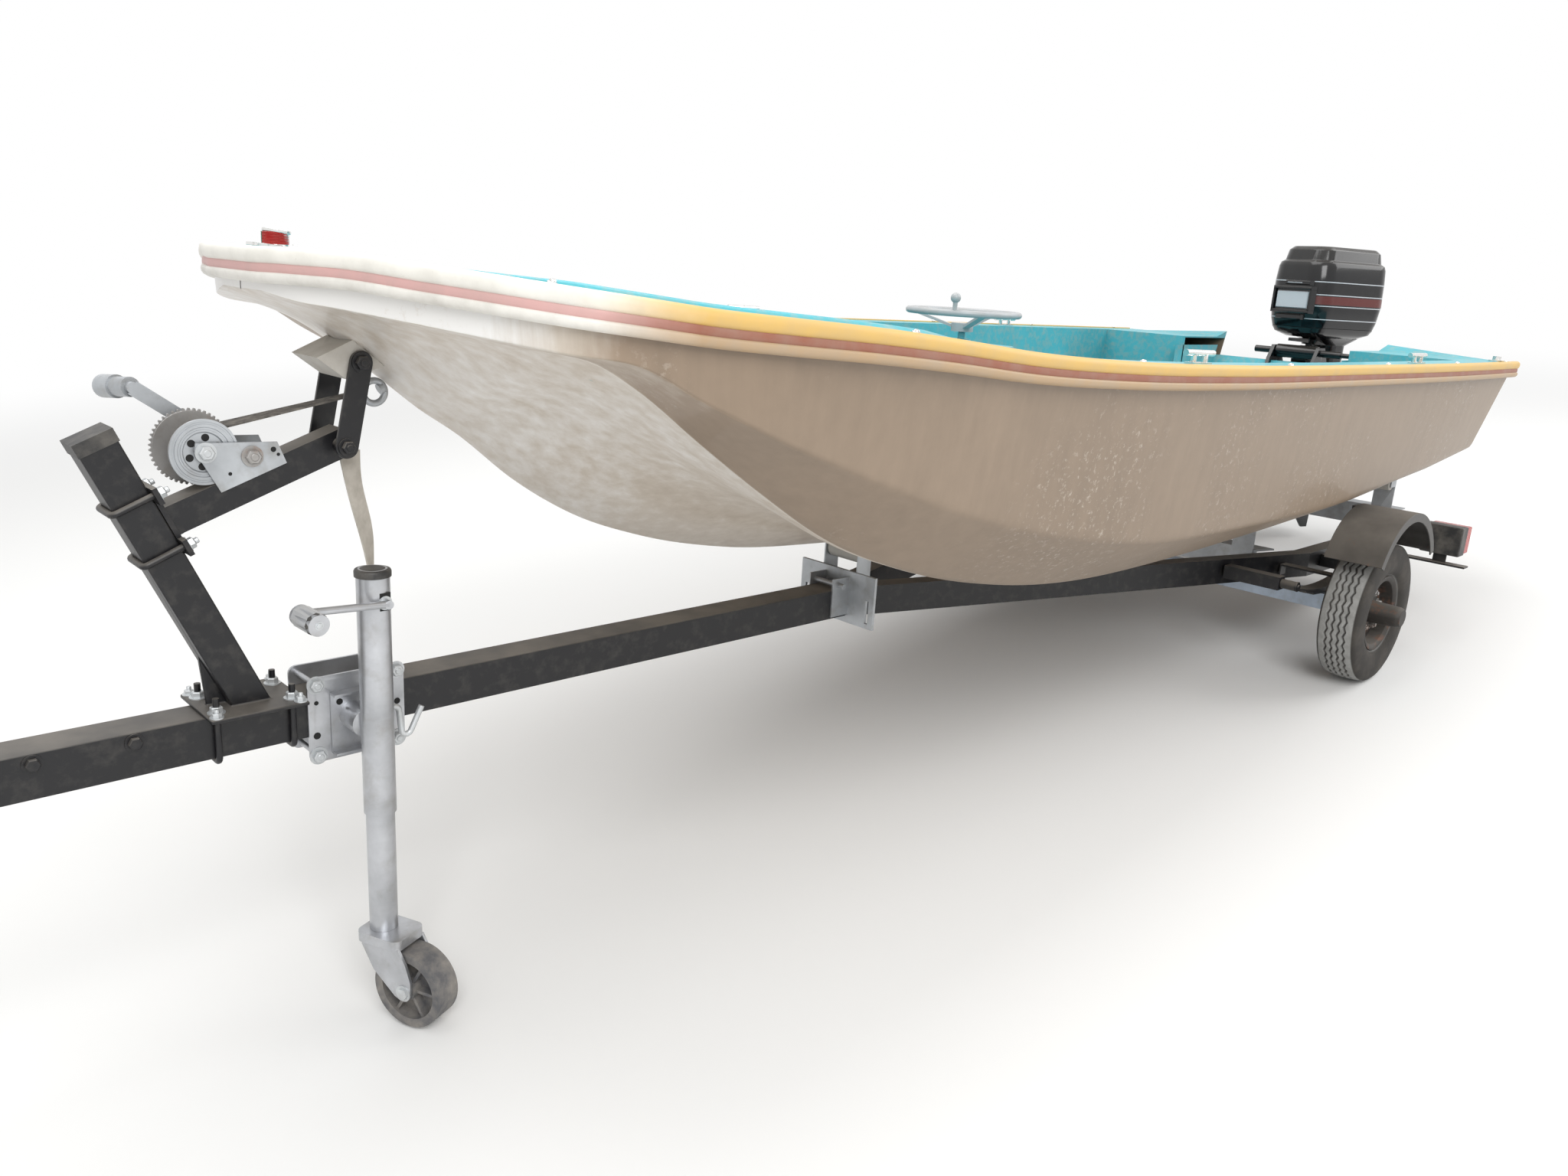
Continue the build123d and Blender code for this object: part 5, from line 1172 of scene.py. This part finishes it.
LIGHT_AT, LIGHT_UP = np.array([0.094, 0, 0.7632]), np.array([-0.02, 0, 1.0])
RIB_FORM = ((0, 0.0008), (0.0006, 0), (0.0018, 0))
ribs = [(0.0066 + 0.0024 * k + rise, 0.0212 - dip) for k in range(8) for rise, dip in RIB_FORM]
lens_form = np.array([(0.0062, 0.0196)] + ribs + [(0.0258, 0.0204), (0.0258, 0.0196)])
for name, side, finish in (("port_lens", 1, red_lens), ("starboard_lens", -1, green_lens)):
    turn = side * np.radians(np.linspace(2, 150, 40))
    around = np.stack([np.cos(turn), np.sin(turn), np.zeros(40)], -1)[:, None]
    lens = LIGHT_AT + lens_form[:, :1] * LIGHT_UP + lens_form[:, 1:] * around
    gathered(name, [capped(lens)], finish)
screw = [(0, 0), (0, 0.0042), (0.0010, 0.0040), (0.0018, 0.0026), (0.0020, 0)]
screws = [spun(screw, LIGHT_AT + (x, 0, 0.0061), LIGHT_UP, 16) for x in (0.032, -0.032)]
gathered("light_screws", screws, bright_chrome)

# %% Raised edge of the foredeck
EDGE_RUN = np.linspace(0.085, -0.75, 80)
EDGE_TAPER, EDGE_FOOT = 0.14, 0.0046
EDGE_FORM = np.array([(-0.075, 0.0046), (-0.062, 0.009), (-0.045, 0.0135), (-0.028, 0.0158),
                      (-0.014, 0.0155), (-0.004, 0.012), (-0.001, 0.0046)])
rise = np.clip(np.minimum(EDGE_RUN[:1] - EDGE_RUN, EDGE_RUN - EDGE_RUN[-1]) / EDGE_TAPER, 0, 1)[:, None]
edge_gunwale = hull_lines(EDGE_RUN)[:, 4]
height = edge_gunwale[:, 1:] + EDGE_FOOT + (EDGE_FORM[:, 1] - EDGE_FOOT) * rise
deck_edges = []
for side in (1, -1):
    across = side * (edge_gunwale[:, :1] + EDGE_FORM[:, 0])
    deck_edges.append(capped(np.stack([EDGE_RUN[:, None] + 0 * across, across, height], -1))[:, ::side])
gathered("deck_edge", deck_edges, teal_gelcoat, crisp=60)

# %% [markdown]
# The outboard's hood carries four thin silver lines and a dark red band right round it, and
# a framed blank plate between two latch tabs on its front. Its outline is a rounded
# rectangle, turned with the steering about the tilt tube.

# %% Outboard trim
STEER_TURN = math.radians(-19)
TILT_TUBE, STEER_BEHIND = (-3.982, 0, 0.585), 0.104
HOOD_FORM = np.array([(96, 28), (124, 14), (185, 0), (276, 5), (326, 12), (342, 22)]) / 1000
HOOD_HALF, HOOD_ROUND, HOOD_MIDDLE = np.array([0.200, 0.135]), 0.294, -0.155
HOOD_SIDES, SUNK = 96, -0.001


def on_motor(points):
    """Motor places (x from the tilt tube, y, z above it) in the tow frame, as steered."""
    points = np.asarray(points, float)
    x, y = points[..., 0] + STEER_BEHIND, points[..., 1]
    c, s = math.cos(STEER_TURN), math.sin(STEER_TURN)
    return np.stack([x * c - y * s, x * s + y * c, points[..., 2]], -1) + TILT_TUBE


def hood_band(low, high, proud):
    """A closed band round the hood between two heights."""
    angle = (np.arange(HOOD_SIDES) + 0.5) * (2 * math.pi / HOOD_SIDES)
    way = np.stack([np.cos(angle), np.sin(angle)], -1)
    rows, middle_z = [], (low + high) / 2
    for z, out in ((low, SUNK), (low, proud), (middle_z, proud), (high, proud), (high, SUNK), (low, SUNK)):
        half = HOOD_HALF - np.interp(z, HOOD_FORM[:, 0], HOOD_FORM[:, 1]) / 2 + out
        radius = HOOD_ROUND * 2 * half[1]
        loop = np.sign(way) * (half - radius) + way * radius + (HOOD_MIDDLE, 0)
        rows.append(np.insert(loop, 2, z, axis=1))
    return on_motor(rows)


stripes = [hood_band(z - 0.0017, z + 0.0017, 0.0006) for z in (0.130, 0.180, 0.222, 0.270)]
gathered("hood_lines", stripes, hood_silver, MOTOR, 50)
gathered("hood_band", [hood_band(0.186, 0.217, 0.0004)], hood_red, MOTOR, 50)


def front_boxes(back, *sizes):
    """Boxes on the hood's front with leaning edges, each from y, y, z, z and face in millimetres."""
    boxes = []
    for y0, y1, z0, z1, face in np.array(sizes) / 1000:
        corners = np.array([(y0, z0), (y1, z0), (y1, z1), (y0, z1)])
        way = np.sign(corners - corners.mean(0))
        rows = ((back, 0), (face - 0.003, 0.001), (face, 0.004))
        loops = [np.insert(corners - way * inset, 0, depth, axis=1) for depth, inset in rows]
        boxes.append(on_motor(capped(np.array(loops))))
    return boxes


bars = front_boxes(0.036, (-74, 114, 236, 250, 66), (-74, 114, 148, 162, 66), (-74, -62, 160, 238, 66),
                   (102, 114, 160, 238, 66), (-26, 96, 254, 272, 58), (-52, 76, 124, 144, 58),
                   (-66, 106, 152, 246, 55.5))
plates = front_boxes(0.050, (-58, 98, 166, 232, 58.5), (-16, 60, 259, 267, 59.5))
gathered("hood_frame", bars, motor_enamel, MOTOR, 25)
gathered("hood_plate", plates, hood_silver, MOTOR, 25)

# %% Wheel bolts
STUD_CIRCLE, RIM_FACE = 0.057, TRACK_HALF + 0.0118
for side, name in ((1, "port"), (-1, "starboard")):
    studs = []
    for turn in np.radians(np.arange(5) * 72 + 20):
        x, z = ROAD_HUB + STUD_CIRCLE * np.array([math.cos(turn), math.sin(turn)])
        studs += bolt((x, side * RIM_FACE, z), (0, side, 0), 0.019, 0.012, 0.005, 0.0015)
    gathered(f"wheel_bolts_{name}", studs, rusty_zinc, f"road_wheel_{name}")
